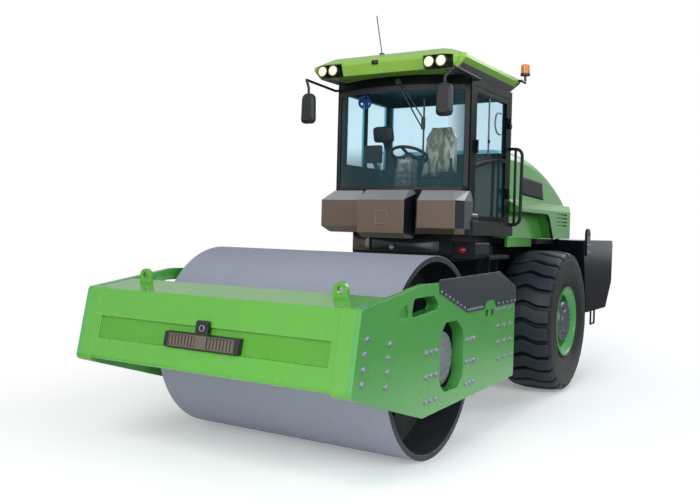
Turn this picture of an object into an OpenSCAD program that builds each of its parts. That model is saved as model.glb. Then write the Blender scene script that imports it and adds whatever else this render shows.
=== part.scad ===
// Single-drum soil compactor: smooth drum in a bolted yoke, articulated and oscillating hitch,
// glazed cab, tilting hood and rear ballast box. Millimetres, +X forwards, +Y to the left, +Z up.
// The origin lies on the ground below the middle of the machine.

/* [Drum] */
// Outside diameter of the drum
drum_d = 1600; // [1400:10:1700]
// Width of the drum
drum_w = 2170; // [2000:10:2250]
// Thickness of the drum shell
drum_shell_t = 45; // [25:1:60]
// Distance from the drum's end to its bulkhead
bulkhead_inset = 330; // [280:5:420]
// Thickness of a drum bulkhead
bulkhead_t = 30; // [20:1:50]
// Radius of the stub axle on each side of the drum
stub_r = 90; // [70:1:110]

/* [Front frame] */
// Gap between the drum's end and the frame's inner face
frame_gap = 55; // [40:1:90]
// Depth of a side frame, from inner to outer face
side_depth = 100; // [80:1:130]
// Thickness of the side plate's skin
side_skin_t = 45; // [30:1:60]
// Distance from the drum's axle to the foremost point
front_reach = 1535; // [1515:1:1650]
// Depth of the front beam at its top
beam_depth = 420; // [300:5:450]
// Depth of the long recess in the front beam's face
beam_recess = 16; // [10:1:40]
// Depth of the rear cross-member, front to back
cross_depth = 300; // [240:5:320]
// Height of the rear cross-member
cross_h = 590; // [480:5:640]
// Thickness of the bolted cover sheets
cover_t = 8; // [4:1:12]

/* [Hitch] */
// Distance between the drum's axle and the wheel axle
wheelbase = 3450; // [3400:10:3600]
// Height of the oscillation axis
hitch_z = 800; // [780:5:830]
// Radius of the vertical steering pin
steer_pin_r = 60; // [45:1:70]
// Radius of the oscillation shaft
osc_shaft_r = 110; // [90:1:125]
// Distance between the inner faces of the hitch ears
ear_gap = 560; // [520:5:600]
// Thickness of a hitch ear
ear_t = 60; // [40:1:70]
// Sideways distance of a steering cylinder's pin from the steering axis
cyl_y = 250; // [240:5:270]
// Bore radius of a steering cylinder's barrel, outside
barrel_r = 48; // [42:1:52]
// Radius of a steering cylinder's rod
rod_r = 26; // [20:1:32]

/* [Wheels] */
// Outside diameter of a tyre
tyre_d = 1602; // [1560:2:1640]
// Section width of a tyre
tyre_w = 600; // [560:5:620]
// Number of tread bars round a tyre
tread_bars = 26; // [20:1:32]
// Depth of the tread's grooves
tread_depth = 52; // [30:1:60]
// Width of a groove's floor between two bars
groove_w = 38; // [24:1:50]
// Radius of the rim's outer lip
rim_r = 395; // [370:1:410]
// Distance between the outer faces of the tyres
over_tyres = 2386; // [2340:2:2460]
// Radius of the rear axle's tubes
axle_r = 120; // [100:1:140]

/* [Rear frame] */
// Distance from the wheel axle to the rearmost point
rear_reach = 2226; // [2150:1:2300]
// Height of the cab platform's underside
platform_z = 1760; // [1740:5:1800]
// Thickness of the cab platform
platform_t = 140; // [110:1:160]
// Width of the ballast box
ballast_w = 2300; // [2200:10:2340]
// Height of the ballast box's top
ballast_top = 1722; // [1700:2:1740]

/* [Cab] */
// Width of the cab over its walls
cab_w = 1500; // [1450:10:1560]
// Length of the cab's side walls
cab_l = 1130; // [1080:5:1160]
// Height of the windscreen's lower edge
glass_z = 2190; // [2150:5:2230]
// Height of the header's underside, above the windows
header_z = 3210; // [3150:5:3240]
// Height of the roof's underside
roof_z = 3300; // [3280:5:3330]
// Height of the roof at its shoulders
roof_h = 200; // [170:5:230]
// Forward bulge of the curved windscreen
glass_bulge = 230; // [180:5:260]
// Thickness of the window glass
glass_t = 8; // [6:1:10]
// Thickness of the cab's walls and door
wall_t = 45; // [35:1:55]

/* [Hood] */
// Width of the hood's upper body
hood_w = 1440; // [1380:10:1500]
// Width of the hood over its side ledges
ledge_w = 1700; // [1640:10:1740]
// Height of the hood's top behind the cab
hood_top = 2720; // [2660:5:2760]
// Thickness of the hood's skin
hood_t = 40; // [25:1:50]

/* [Hidden] */
$fn = 64;
// Running clearance of pins, shafts and hinges, and the gap between moving faces
run = 0.3;
gap = 6;
// Weld or glue gap between fitted round faces
seat_gap = 0.2;

// Stations along X: the machine is centred between its foremost and rearmost points
drum_x = (front_reach + wheelbase + rear_reach) / 2 - front_reach;
wheel_x = drum_x - wheelbase;
pivot_x = drum_x - wheelbase / 2;
axle_z = drum_d / 2;
wheel_z = tyre_d / 2;

// Front frame, measured from the drum's axle
frame_in = drum_w / 2 + frame_gap;
frame_out = frame_in + side_depth;
nose_z = 490;
lip_z = -60;
lip_r = 45;
nose_back = 116;
plate_low_x = 511;
plate_low_z = -364;
plate_top = 645;
// The rounded lower lip is the machine's foremost point
lip_u = unit([-nose_back, nose_z - lip_z]);
lip_v = unit([plate_low_x - front_reach, plate_low_z - lip_z]);
lip_tip = unit(lip_u + lip_v).x * lip_r / sin(acos(lip_u * lip_v) / 2) + lip_r;
lip_x = front_reach - lip_tip;
nose_x = lip_x - nose_back;
plate_end = -wheelbase / 2 + 296;

// Cab stations
cab_front = pivot_x + 275;
cab_back = cab_front - cab_l;
cab_half = cab_w / 2;
floor_top = platform_z + platform_t;
glass_half = cab_half - 15;
glass_r = (pow(glass_half, 2) + pow(glass_bulge, 2)) / (2 * glass_bulge);
glass_cx = cab_front + glass_bulge - glass_r;
a_post = 90;
rear_post = 100;
post_t = 70;
sill_half = cab_half + 50;

// Door
door_front = cab_front - a_post - gap;
door_back = cab_back + rear_post + gap;
door_low = floor_top + gap;
door_high = header_z - gap;
hinge_x = door_back;
hinge_r = 16;
hinge_y = cab_half + hinge_r + 2;
hinge_pin_r = 8;

// Hood and ballast
hood_front = cab_back - 60;
hood_rear = wheel_x - 1830;
ballast_front_top = wheel_x - 675;
ballast_front_low = wheel_x - 910;
ballast_low = 828;
deck_top = ballast_top + 8;
hood_hinge_x = hood_rear + 30;
hood_hinge_z = deck_top + 130;
// Inner face and thickness of a hinge lug inside the hood's rear wall
lug_y = hood_w / 2 - 295;
lug_t = 47;
lug_out = lug_y + lug_t;

// Tyre and rim
tyre_r = tyre_d / 2;
tyre_mid = over_tyres / 2 - tyre_w / 2;
bead_r = rim_r - 45;
hub_r = 224;

// Hitch
ear_low = hitch_z - ear_gap / 2;
ear_high = hitch_z + ear_gap / 2;
cyl_back = -760;
cyl_z = hitch_z - 45;
// Radius of the cap on the oscillation shaft's end, and the depth of its counterbore
cap_r = osc_shaft_r + 55;
cap_room = 46;

// Colours
paint = [0.36, 0.68, 0.24];
dark = [0.13, 0.14, 0.16];
taupe = [0.45, 0.40, 0.37];
steel = [0.62, 0.62, 0.68];
rubber = [0.12, 0.12, 0.13];
glass = [0.35, 0.5, 0.48, 0.4];
lamp = [0.95, 0.92, 0.78];

// Outline helpers

function unit(v) = v / norm(v);

// Points of one rounded corner at p between neighbours a and b
function corner(a, p, b, r, n) = r <= 0 ? [p] :
    let (u = unit(a - p), v = unit(b - p), h = acos(u * v) / 2,
         c = p + unit(u + v) * (r / sin(h)),
         s = p + u * (r / tan(h)) - c, e = p + v * (r / tan(h)) - c,
         t0 = atan2(s.y, s.x), sweep = (atan2(e.y, e.x) - t0 + 540) % 360 - 180)
    [for (i = [0:n]) c + r * [cos(t0 + sweep * i / n), sin(t0 + sweep * i / n)]];

// Closed outline from [x, y, corner radius] points
function rounded(pts, n = 5) = [for (i = [0:len(pts) - 1])
    let (a = pts[(i + len(pts) - 1) % len(pts)], p = pts[i], b = pts[(i + 1) % len(pts)])
    each corner([a.x, a.y], [p.x, p.y], [b.x, b.y], p[2], n)];

// Extrudes an XZ outline along Y between y0 and y1
module along_y(y0, y1) {
    translate([0, y1, 0]) rotate([90, 0, 0]) linear_extrude(y1 - y0) children();
}

// Extrudes a YZ outline along X between x0 and x1
module along_x(x0, x1) {
    translate([x0, 0, 0]) rotate([90, 0, 90]) linear_extrude(x1 - x0) children();
}

module block(lo, hi) {
    translate(lo) cube(hi - lo);
}

// Round bar between two points
module bar(a, b, r) {
    d = b - a;
    translate(a) rotate([0, acos(d.z / norm(d)), atan2(d.y, d.x)]) cylinder(r = r, h = norm(d));
}

// Bent tube through a list of points, with a ball at each bend
module tube(pts, r) {
    for (i = [0:len(pts) - 2]) bar(pts[i], pts[i + 1], r);
    for (i = [1:len(pts) - 2]) translate(pts[i]) sphere(r * 1.06);
}

module y_cylinder(x, z, r, y0, y1) {
    translate([x, y1, z]) rotate([90, 0, 0]) cylinder(r = r, h = y1 - y0);
}

module x_cylinder(y, z, r, x0, x1) {
    translate([x0, y, z]) rotate([0, 90, 0]) cylinder(r = r, h = x1 - x0);
}

// Keeps a shape for the left side, or mirrors it for the right
module on_side(side) {
    if (side > 0) children();
    else mirror([0, 1, 0]) children();
}

// Front frame

// X of the sloping front face at height z above the drum's axle
function face_x(z) = nose_x + (nose_z - z) * (lip_x - nose_x) / (nose_z - lip_z);

top_slope = 0.134;

// Height of the front beam's sloping deck at x
function deck_z(x) = nose_z - 4 + top_slope * (nose_x - x);

// Outline of a side plate, from the drum's axle
function plate_outline() = rounded([
    [nose_x, nose_z, 30], [530, 610, 60], [300, 606, 0], [-998, plate_top, 40],
    [plate_end, 495, 20], [plate_end, -324, 25], [plate_low_x, plate_low_z, 60], [lip_x, lip_z, lip_r]]);

// Opening in the side plate over the drum's drive
function slot_outline(grow = 0) = rounded([
    [-230 - grow, 200, 90], [-90, 300 + grow, 60], [130, 300 + grow, 60], [230 + grow, 200, 90],
    [230 + grow, -150, 90], [130, -235 - grow, 60], [-130, -235 - grow, 60], [-230 - grow, -150, 90]], 3);

// Hand hole near the side plate's upper edge
function hand_hole(grow = 0) = rounded([
    [690 + grow, 515 + grow, 30], [360 - grow, 520 + grow, 30], [262 - grow, 450, 30],
    [290 - grow, 412 - grow, 30], [730 + grow, 378 - grow, 30]], 3);

module side_plate(side) {
    color(paint) translate([drum_x, 0, axle_z]) on_side(side) difference() {
        union() {
            along_y(frame_out - side_skin_t, frame_out) polygon(plate_outline());
            along_y(frame_in, frame_out) polygon(slot_outline(28));
            along_y(frame_in, frame_out) polygon(hand_hole(24));
        }
        along_y(frame_in - 1, frame_out + 1) polygon(slot_outline());
        along_y(frame_in - 1, frame_out + 1) polygon(hand_hole());
        // Shallow pocket ahead of the hand hole, and two slots under the cover's tab
        along_y(frame_out - side_skin_t / 2, frame_out + 1) polygon(rounded([
            [908, 458, 14], [792, 482, 14], [770, 390, 14], [922, 380, 14]], 3));
        for (x = [-765, -895]) along_y(frame_out - side_skin_t - 1, frame_out + 1) polygon(rounded([
            [x, 272, 20], [x + 78, 272, 20], [x + 78, 336, 20], [x, 336, 20]], 3));
    }
}

module front_beam() {
    half = frame_out - side_skin_t - seat_gap;
    step = 6;
    cap_w = 105;
    band_top = 285;
    band_low = 106;
    back = nose_x - beam_depth;
    pocket_half = half - cap_w - 45;
    color(paint) translate([drum_x, 0, axle_z]) difference() {
        union() {
            along_y(-half, half) polygon(rounded([
                [nose_x - step, deck_z(nose_x - step), 15], [face_x(-48) - step, -48, 25],
                [back + 200, -48, 25], [back, 120, 0], [back, deck_z(back), 10]], 4));
            // Strips on the ends of the face, down round the lip
            for (s = [-1, 1]) on_side(s) along_y(half - cap_w, half) polygon(rounded([
                [nose_x, nose_z, 25], [lip_x, lip_z, lip_r - 5], [lip_x - 75, lip_z - 22, 20],
                [nose_x - 60, nose_z + 60 * top_slope, 0]], 4));
        }
        // Long pocket in the face
        along_y(-pocket_half, pocket_half) polygon([
            [face_x(band_top) + 30, band_top + 8],
            [face_x(band_top - 12) - step - beam_recess, band_top - 12],
            [face_x(band_low + 12) - step - beam_recess, band_low + 12],
            [face_x(band_low) + 30, band_low - 8]]);
    }
}

lift_y = 908;
lift_r = 56;
lift_hole = 26;

module front_lift_eyes() {
    x = nose_x - 292;
    seat = deck_z(x) + seat_gap;
    slope = 40 * top_slope;
    color(paint) translate([drum_x + x, 0, axle_z]) for (side = [-1, 1]) translate([0, side * lift_y, 0])
        difference() {
            union() {
                x_cylinder(0, seat + lift_r, lift_r, -15, 15);
                // Foot cut along the sloping deck
                block([-15, -lift_r, seat - 20], [15, lift_r, seat + lift_r]);
            }
            x_cylinder(0, seat + lift_r, lift_hole, -16, 16);
            along_y(-70, 70) polygon([[-40, seat + slope], [40, seat - slope], [40, seat - 60], [-40, seat - 60]]);
        }
}

module sensor_bar() {
    low = 122;
    high = 228;
    half = 338;
    pocket_floor = 6 + beam_recess - seat_gap;
    // X of the housing's front at height z: parallel to the beam's face
    function front(z) = face_x(z) + 26;
    color(dark) translate([drum_x, 0, axle_z]) {
        difference() {
            along_y(-half, half) polygon(rounded([[face_x(high) - pocket_floor, high, 0], [front(high), high, 8],
                [front(low), low, 8], [face_x(low) - pocket_floor, low, 0]], 3));
            // Pockets on both sides of a plain middle panel
            for (s = [-1, 1]) on_side(s) along_y(52, half - 44) polygon([
                [front(high - 14) - 16, high - 14], [front(high - 14) + 9, high - 14],
                [front(low + 14) + 9, low + 14], [front(low + 14) - 16, low + 14]]);
        }
        // Upright ribs in the pockets
        for (s = [-1, 1]) for (i = [0:7]) translate([0, s * (70 + 30 * i), 0]) along_y(-9, 9) polygon([
            [front(high - 13) - 17, high - 13], [front(high - 13) - 5, high - 13],
            [front(low + 13) - 5, low + 13], [front(low + 13) - 17, low + 13]]);
        // Hooded camera on the top
        along_y(-62, 50) polygon([[face_x(high) + 2, high - 1], [front(high) - 2, high - 1],
            [front(high) - 18, high + 88], [front(high) - 36, high + 96], [face_x(high + 70) + 2, high + 70]]);
    }
}

module rear_crossmember() {
    back = plate_end;
    front = plate_end + cross_depth;
    half = frame_out - side_skin_t - seat_gap;
    low = -cross_h * 0.41;
    high = cross_h * 0.59;
    color(dark) translate([drum_x, 0, 0]) difference() {
        translate([0, 0, axle_z]) along_y(-half, half) polygon(rounded([
            [back, low, 20], [back, high, 20], [front - 60, high, 20], [front, high - 90, 20],
            [front, low + 60, 20], [front - 60, low, 20]], 3));
        x_cylinder(0, hitch_z, osc_shaft_r + run, back - 1, front + 1);
        // Counterbore for the cap on the shaft's end
        x_cylinder(0, hitch_z, cap_r + gap, front - cap_room, front + 1);
    }
}

module frame_covers() {
    color(dark) translate([drum_x, 0, axle_z]) for (side = [-1, 1]) on_side(side) difference() {
        along_y(frame_out, frame_out + cover_t) polygon(rounded([
            [277, 632, 15], [-998, plate_top + 8, 40], [plate_end + 2, 499, 20], [plate_end + 2, 352, 8],
            [-285, 343, 30], [263, 529, 10]]));
        // Notch round the side plate's tab
        along_y(frame_out - 1, frame_out + cover_t + 1) polygon(rounded([
            [-935, 300, 0], [-935, 414, 85], [-650, 414, 85], [-650, 300, 0]], 4));
    }
}

module drum_mounts() {
    disc_out = frame_in + 8;
    disc_in = disc_out - 40;
    hub_in = drum_w / 2 - bulkhead_inset - 70;
    pad_out = frame_out - side_skin_t;
    color(steel) translate([drum_x, 0, axle_z]) for (side = [-1, 1]) on_side(side) {
        y_cylinder(0, 0, 210, disc_in, disc_out);
        y_cylinder(0, 0, stub_r, hub_in, disc_in);
        // Cross-bar behind the disc, and the pads that bolt to the side plate
        along_y(disc_in + 2, disc_in + 24) polygon(rounded([
            [-440, -60, 20], [440, -60, 20], [440, 60, 20], [-440, 60, 20]], 3));
        for (e = [-1, 1]) along_y(disc_in + 10, pad_out) polygon(rounded([
            [e * 270, -290, 30], [e * 440, -290, 30], [e * 440, 240, 30], [e * 270, 240, 30]], 3));
    }
}

// Drum

module drum_shell() {
    color(steel) translate([drum_x, 0, axle_z]) difference() {
        y_cylinder(0, 0, drum_d / 2, -drum_w / 2, drum_w / 2, $fn = 180);
        y_cylinder(0, 0, drum_d / 2 - drum_shell_t, -drum_w / 2 - 1, drum_w / 2 + 1, $fn = 180);
    }
}

module drum_ends() {
    r = drum_d / 2 - drum_shell_t - seat_gap;
    outer = drum_w / 2 - bulkhead_inset;
    color(dark) translate([drum_x, 0, axle_z]) for (side = [-1, 1]) on_side(side) difference() {
        union() {
            y_cylinder(0, 0, r, outer - bulkhead_t, outer);
            y_cylinder(0, 0, stub_r + 90, outer - 90, outer + 60);
            // Ring of fixing bosses round the hub
            for (i = [0:7]) rotate([0, i * 45, 0]) y_cylinder(r * 0.62, 0, 42, outer - 4, outer + 25);
        }
        y_cylinder(0, 0, stub_r + run, outer - 91, outer + 61);
    }
}

// Hitch

module hitch_block() {
    eye_clear = 32;
    color(dark) {
        translate([pivot_x, 0, 0]) {
            translate([0, 0, ear_low + gap]) cylinder(r = 125, h = ear_gap - 2 * gap);
            translate([0, 0, ear_low - ear_t - 20]) cylinder(r = steer_pin_r, h = ear_gap + 2 * ear_t + 40);
        }
        x_cylinder(0, hitch_z, 190, pivot_x + 40, drum_x + plate_end - gap);
        x_cylinder(0, hitch_z, osc_shaft_r, pivot_x + 40, drum_x + plate_end + cross_depth - 20);
        x_cylinder(0, hitch_z, cap_r, drum_x + plate_end + cross_depth - cap_room + gap,
            drum_x + plate_end + cross_depth - 4);
        // Steering arms under the rod eyes
        translate([pivot_x, 0, cyl_z - eye_clear - 34]) linear_extrude(30) polygon(rounded([
            [-52, -cyl_y - 40, 40], [52, -cyl_y - 40, 40], [110, -100, 0], [110, 100, 0],
            [52, cyl_y + 40, 40], [-52, cyl_y + 40, 40], [-90, 0, 0]], 4));
    }
}

module steer_barrel(side) {
    color(dark) translate([pivot_x, side * cyl_y, cyl_z]) difference() {
        union() {
            x_cylinder(0, 0, barrel_r, cyl_back + 75, -250);
            x_cylinder(0, 0, 27, cyl_back + 30, cyl_back + 80);
            x_cylinder(0, 0, barrel_r + 8, -290, -250);
            translate([cyl_back, 0, -30]) cylinder(r = 52, h = 60);
        }
        translate([cyl_back, 0, -31]) cylinder(r = 28 + run, h = 62);
        x_cylinder(0, 0, rod_r + run, cyl_back + 120, -249);
    }
}

module steer_rod(side) {
    color(steel) translate([pivot_x, side * cyl_y, cyl_z]) difference() {
        union() {
            x_cylinder(0, 0, rod_r, cyl_back + 280, -20);
            translate([0, 0, -30]) cylinder(r = 44, h = 60);
        }
        translate([0, 0, -31]) cylinder(r = 20, h = 62);
    }
}

// Rear frame

rail_y = 400;
rail_t = 50;
rail_low = wheel_z + 185;
rail_high = 1500;
deck_low = 1500;
bulkhead_x = pivot_x - 860;

// X of the ballast box's sloping front face at height z
function ballast_face(z) = ballast_front_top +
    (ballast_front_low - ballast_front_top) * (ballast_top - z) / (ballast_top - ballast_low);

module rear_frame() {
    ear = rounded([[120, -95, 60], [120, 95, 60], [-860, 380, 20], [-860, -380, 20]], 4);
    color(dark) difference() {
        union() {
            translate([pivot_x, 0, ear_high]) linear_extrude(ear_t) polygon(ear);
            translate([pivot_x, 0, ear_low - ear_t]) linear_extrude(ear_t) polygon(ear);
            translate([pivot_x, 0, ear_high]) cylinder(r = 130, h = ear_t);
            translate([pivot_x, 0, ear_low - ear_t]) cylinder(r = 130, h = ear_t);
            // Spine web between the ears, and the bulkhead behind it
            block([bulkhead_x, -40, ear_low - 1], [pivot_x - 190, 40, ear_high + 1]);
            block([bulkhead_x - 50, -rail_y, ear_low - ear_t], [bulkhead_x, rail_y, deck_low]);
            // Lugs with the rear pins of the steering cylinders
            for (s = [-1, 1]) {
                block([bulkhead_x - 1, s * cyl_y - 60, cyl_z - 62], [bulkhead_x + 155, s * cyl_y + 60, cyl_z - 31]);
                block([bulkhead_x - 1, s * cyl_y - 60, cyl_z + 31], [bulkhead_x + 155, s * cyl_y + 60, cyl_z + 62]);
                translate([pivot_x + cyl_back, s * cyl_y, cyl_z - 40]) cylinder(r = 28, h = 80);
            }
            // Rails over the rear axle
            for (s = [-1, 1]) on_side(s) along_y(rail_y - rail_t, rail_y) polygon(rounded([
                [bulkhead_x - 20, ear_low - ear_t, 0], [bulkhead_x - 20, rail_high, 0],
                [ballast_face(rail_high) + seat_gap, rail_high, 0],
                [ballast_face(rail_low) + seat_gap, rail_low, 0], [wheel_x + 420, rail_low, 120],
                [bulkhead_x - 260, ear_low - ear_t, 60]], 4));
        }
        for (z = [ear_low - ear_t - 1, ear_high - 1]) translate([pivot_x, 0, z])
            cylinder(r = steer_pin_r + run, h = ear_t + 2);
    }
}

deck_half = 560;
side_box_y = 800;

module deck_frame() {
    back = hood_front + 20;
    front = pivot_x + 225;
    hood_end = hood_front - 17;
    narrow = hood_w / 2 - 82;
    wide = sill_half - 20;
    step_x = wheel_x - 30;
    color(dark) {
        // Box under the cab, with a bevelled front edge
        along_y(-deck_half, deck_half) polygon([[back, deck_low + seat_gap], [front - 60, deck_low + seat_gap],
            [front, deck_low + 70], [front, platform_z], [back, platform_z]]);
        // Deck under the hood, on its two posts
        translate([0, 0, deck_top - 60]) linear_extrude(60) polygon([
            [ballast_front_top, -wide], [step_x, -wide], [step_x, -narrow], [hood_end, -narrow],
            [hood_end, narrow], [step_x, narrow], [step_x, wide], [ballast_front_top, wide]]);
        block([ballast_front_top + 20, -rail_y, rail_high + seat_gap], [hood_end, rail_y, deck_top - 59]);
        // Tool box under the platform's left side
        along_x(pivot_x - 170, pivot_x + 195) polygon(rounded([
            [deck_half + seat_gap, 1530, 0], [side_box_y - 30, 1530, 20], [side_box_y, 1570, 20],
            [side_box_y, 1690, 15], [deck_half + seat_gap, 1690, 0]], 3));
    }
}

module rear_axle() {
    end = tyre_mid - tyre_w / 2 - 8;
    color(dark) translate([wheel_x, 0, wheel_z]) {
        y_cylinder(0, 0, axle_r, -end, end);
        for (s = [-1, 1]) on_side(s) {
            y_cylinder(0, 0, 180, end - 60, end);
            y_cylinder(0, 0, 80, end - 1, tyre_mid + 100);
            // Pad that bolts under the rail
            block([-160, rail_y - rail_t - 20, 0], [160, rail_y + 20, rail_low - wheel_z]);
        }
        sphere(230);
        x_cylinder(0, 0, 110, 150, 330);
    }
}

// Wheels

// Tyre as one closed ring of facets. Each row of the section runs round the wheel, and each bar has four columns:
// two on the groove's floor and two on the edges of its mouth. Shifting the rows round the tyre makes chevrons.
module tyre(side) {
    w = tyre_w / 2;
    bead_w = w * 0.8 - 5;
    pitch = 360 / tread_bars;
    degrees = 180 / PI / tyre_r;
    floor_half = groove_w / 2 * degrees;
    mouth_half = (groove_w / 2 + 11) * degrees;
    columns = [-mouth_half, -floor_half, floor_half, mouth_half];
    // The bead's flats lie outside the rim's round seat
    flat_half = (pitch - 2 * mouth_half) / 2;
    // Half of the section from the bead to the shoulder: radius, y, depth of the groove, shift round the tyre
    flank = [[(bead_r + seat_gap) / cos(flat_half), bead_w, 0, -4], [rim_r + 8, bead_w, 0, -4],
        [tyre_r * 0.64, w, 0, -4], [tyre_r * 0.885, w * 0.985, 0, -4],
        [tyre_r * 0.965, w * 0.90, tread_depth * 0.85, -5], [tyre_r * 0.993, w * 0.5, tread_depth, -8]];
    crown = [tyre_r, 0, tread_depth, 52];
    last = len(flank) - 1;
    rows = concat(flank, [crown], [for (i = [last:-1:0]) [flank[i].x, -flank[i].y, flank[i].z, flank[i][3]]]);
    count = len(rows);
    rounds = tread_bars * 4;
    // A bar's edge on the crown stands on the ground
    start = -90 - mouth_half - crown[3] * degrees;
    points = [for (k = [0:rounds - 1]) for (row = rows)
        let (c = k % 4, a = start + floor(k / 4) * pitch + columns[c] + row[3] * degrees,
            r = row.x - (c == 1 || c == 2 ? row.z : 0))
        [r * cos(a), row.y, r * sin(a)]];
    faces = [for (k = [0:rounds - 1]) for (j = [0:count - 1])
        let (n = (k + 1) % rounds, m = (j + 1) % count)
        each [[k * count + j, n * count + m, n * count + j], [k * count + j, k * count + m, n * count + m]]];
    color(rubber) translate([wheel_x, side * tyre_mid, wheel_z]) polyhedron(points, faces);
}

module rim(side) {
    w = tyre_w / 2 * 0.8;
    inner = tyre_w / 2 - 2;
    hub_face = w + 6;
    well = 95;
    color(paint) translate([wheel_x, side * tyre_mid, wheel_z]) rotate([side > 0 ? -90 : 90, 0, 0])
        rotate_extrude($fn = 96) polygon([
            [80 + run, -inner], [hub_r - 20, -inner], [hub_r, -inner + 38], [hub_r, 40], [bead_r - 40, 10],
            [bead_r - 40, -w], [rim_r - 20, -w - 30], [rim_r, -w - 30], [rim_r - 4, -w - 2], [bead_r, -w + 4],
            [bead_r, w - 4], [rim_r - 4, w + 2], [rim_r, w + 30], [rim_r - 24, w + 30], [rim_r - 30, w + 18],
            [bead_r - 50, w - 30], [bead_r - 58, well], [hub_r + 14, well - 10], [hub_r, well],
            [hub_r, hub_face - 22], [hub_r - 14, hub_face], [132, hub_face], [120, hub_face + 14],
            [0, hub_face + 14], [0, 108], [80 + run, 108]]);
}

// Cab

// Plan of the space inside the curved front, out to a given inset from the glass
module front_plan(inset, back) {
    intersection() {
        translate([glass_cx, 0]) circle(r = glass_r - inset, $fn = 180);
        translate([back, -glass_half]) square([cab_front + glass_bulge - back + 1, 2 * glass_half]);
    }
}

module cab_platform() {
    color(dark) difference() {
        union() {
            translate([0, 0, platform_z]) linear_extrude(platform_t) {
                front_plan(0, cab_front - 1);
                polygon(rounded([[cab_back, -sill_half, 20], [cab_front + 60, -sill_half, 60],
                    [cab_front + 60, sill_half, 60], [cab_back, sill_half, 20]]));
            }
        }
        // Floor tray
        block([cab_back + 80, -cab_half + 80, floor_top - 60], [cab_front + 40, cab_half - 80, floor_top + 1]);
    }
}

module cab_frame() {
    y0 = cab_half - post_t;
    wall_low = 2480;
    rear_low = 2650;
    mid_x = cab_back + cab_l * 0.52;
    color(dark) difference() {
        union() {
            for (s = [-1, 1]) on_side(s) {
                block([cab_front - a_post, y0, floor_top], [cab_front, cab_half, roof_z]);
                block([cab_back, y0, floor_top], [cab_back + rear_post, cab_half, roof_z]);
                block([cab_back, y0, header_z], [cab_front, cab_half, roof_z]);
            }
            // Right wall below its window, and the window's middle post
            block([cab_back + rear_post - 1, -cab_half, floor_top], [cab_front - a_post + 1, -cab_half + wall_t, wall_low]);
            block([mid_x - 25, -cab_half, wall_low - 1], [mid_x + 25, -cab_half + wall_t, header_z + 1]);
            // Rear wall and header
            block([cab_back, -y0 - 1, floor_top], [cab_back + wall_t, y0 + 1, rear_low]);
            block([cab_back, -y0 - 1, header_z], [cab_back + wall_t, y0 + 1, roof_z]);
            // Curved header and apron of the front
            translate([0, 0, header_z]) linear_extrude(roof_z - header_z) front_plan(0, cab_front - 120);
            translate([0, 0, floor_top]) linear_extrude(glass_z - floor_top) difference() {
                front_plan(0, cab_front - 1);
                front_plan(30, cab_front - 2);
            }
            // Hinge lugs of the door
            for (z = [door_low + 250, door_high - 300]) block([hinge_x - 60, cab_half - 1, z], [hinge_x - 20, hinge_y + 6, z + 50]);
        }
        // Clear space above the operator between the headers
        block([cab_back + wall_t, -y0, header_z - 1], [cab_front - 119, y0, roof_z + 1]);
    }
    // Hinge pins of the door
    color(steel) for (z = [door_low + 250, door_high - 300]) {
        translate([hinge_x, hinge_y, z]) cylinder(r = hinge_pin_r, h = 110);
        block([hinge_x - 60, hinge_y - hinge_pin_r, z], [hinge_x, hinge_y + 6, z + 50]);
    }
}

module windscreen() {
    color(glass) translate([0, 0, glass_z]) linear_extrude(header_z - glass_z) difference() {
        front_plan(4, cab_front);
        front_plan(4 + glass_t, cab_front - 1);
    }
}

module side_glass() {
    wall_low = 2480;
    mid_x = cab_back + cab_l * 0.52;
    y = -cab_half + wall_t / 2;
    color(glass) {
        block([cab_back + rear_post, y - glass_t / 2, wall_low], [mid_x - 25, y + glass_t / 2, header_z]);
        block([mid_x + 25, y - glass_t / 2, wall_low], [cab_front - a_post, y + glass_t / 2, header_z]);
    }
}

module rear_glass() {
    x = cab_back + wall_t / 2;
    color(glass) block([x - glass_t / 2, -cab_half + post_t, 2650], [x + glass_t / 2, cab_half - post_t, header_z]);
}

module roof() {
    front = pivot_x + 735;
    back = cab_back - 70;
    half = cab_half + 80;
    module layer(z, f, b, h, front_cut, h_front) {
        translate([0, 0, z]) linear_extrude(1) polygon([[b, -h + 60], [b, h - 60], [b + 60, h], [f - front_cut, h],
            [f, h_front], [f, -h_front], [f - front_cut, -h], [b + 60, -h]]);
    }
    color(paint) difference() {
        hull() {
            layer(roof_z, front - 40, back + 60, half - 90, 60, half - 160);
            layer(roof_z + 95, front, back, half, 110, half - 170);
            layer(roof_z + 130, front, back, half, 110, half - 170);
            layer(roof_z + roof_h - 1, front - 130, back + 120, half - 180, 60, half - 240);
        }
        // Pockets for the work lights
        for (s = [-1, 1]) on_side(s) block([front - 75, 440, roof_z - 1], [front + 1, 725, roof_z + 118]);
    }
}

module work_lights() {
    front = pivot_x + 735;
    color(lamp) for (s = [-1, 1]) for (y = [519, 641]) {
        x_cylinder(s * y, roof_z + 52, 53, front - 74.5, front + 34);
    }
}

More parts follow.
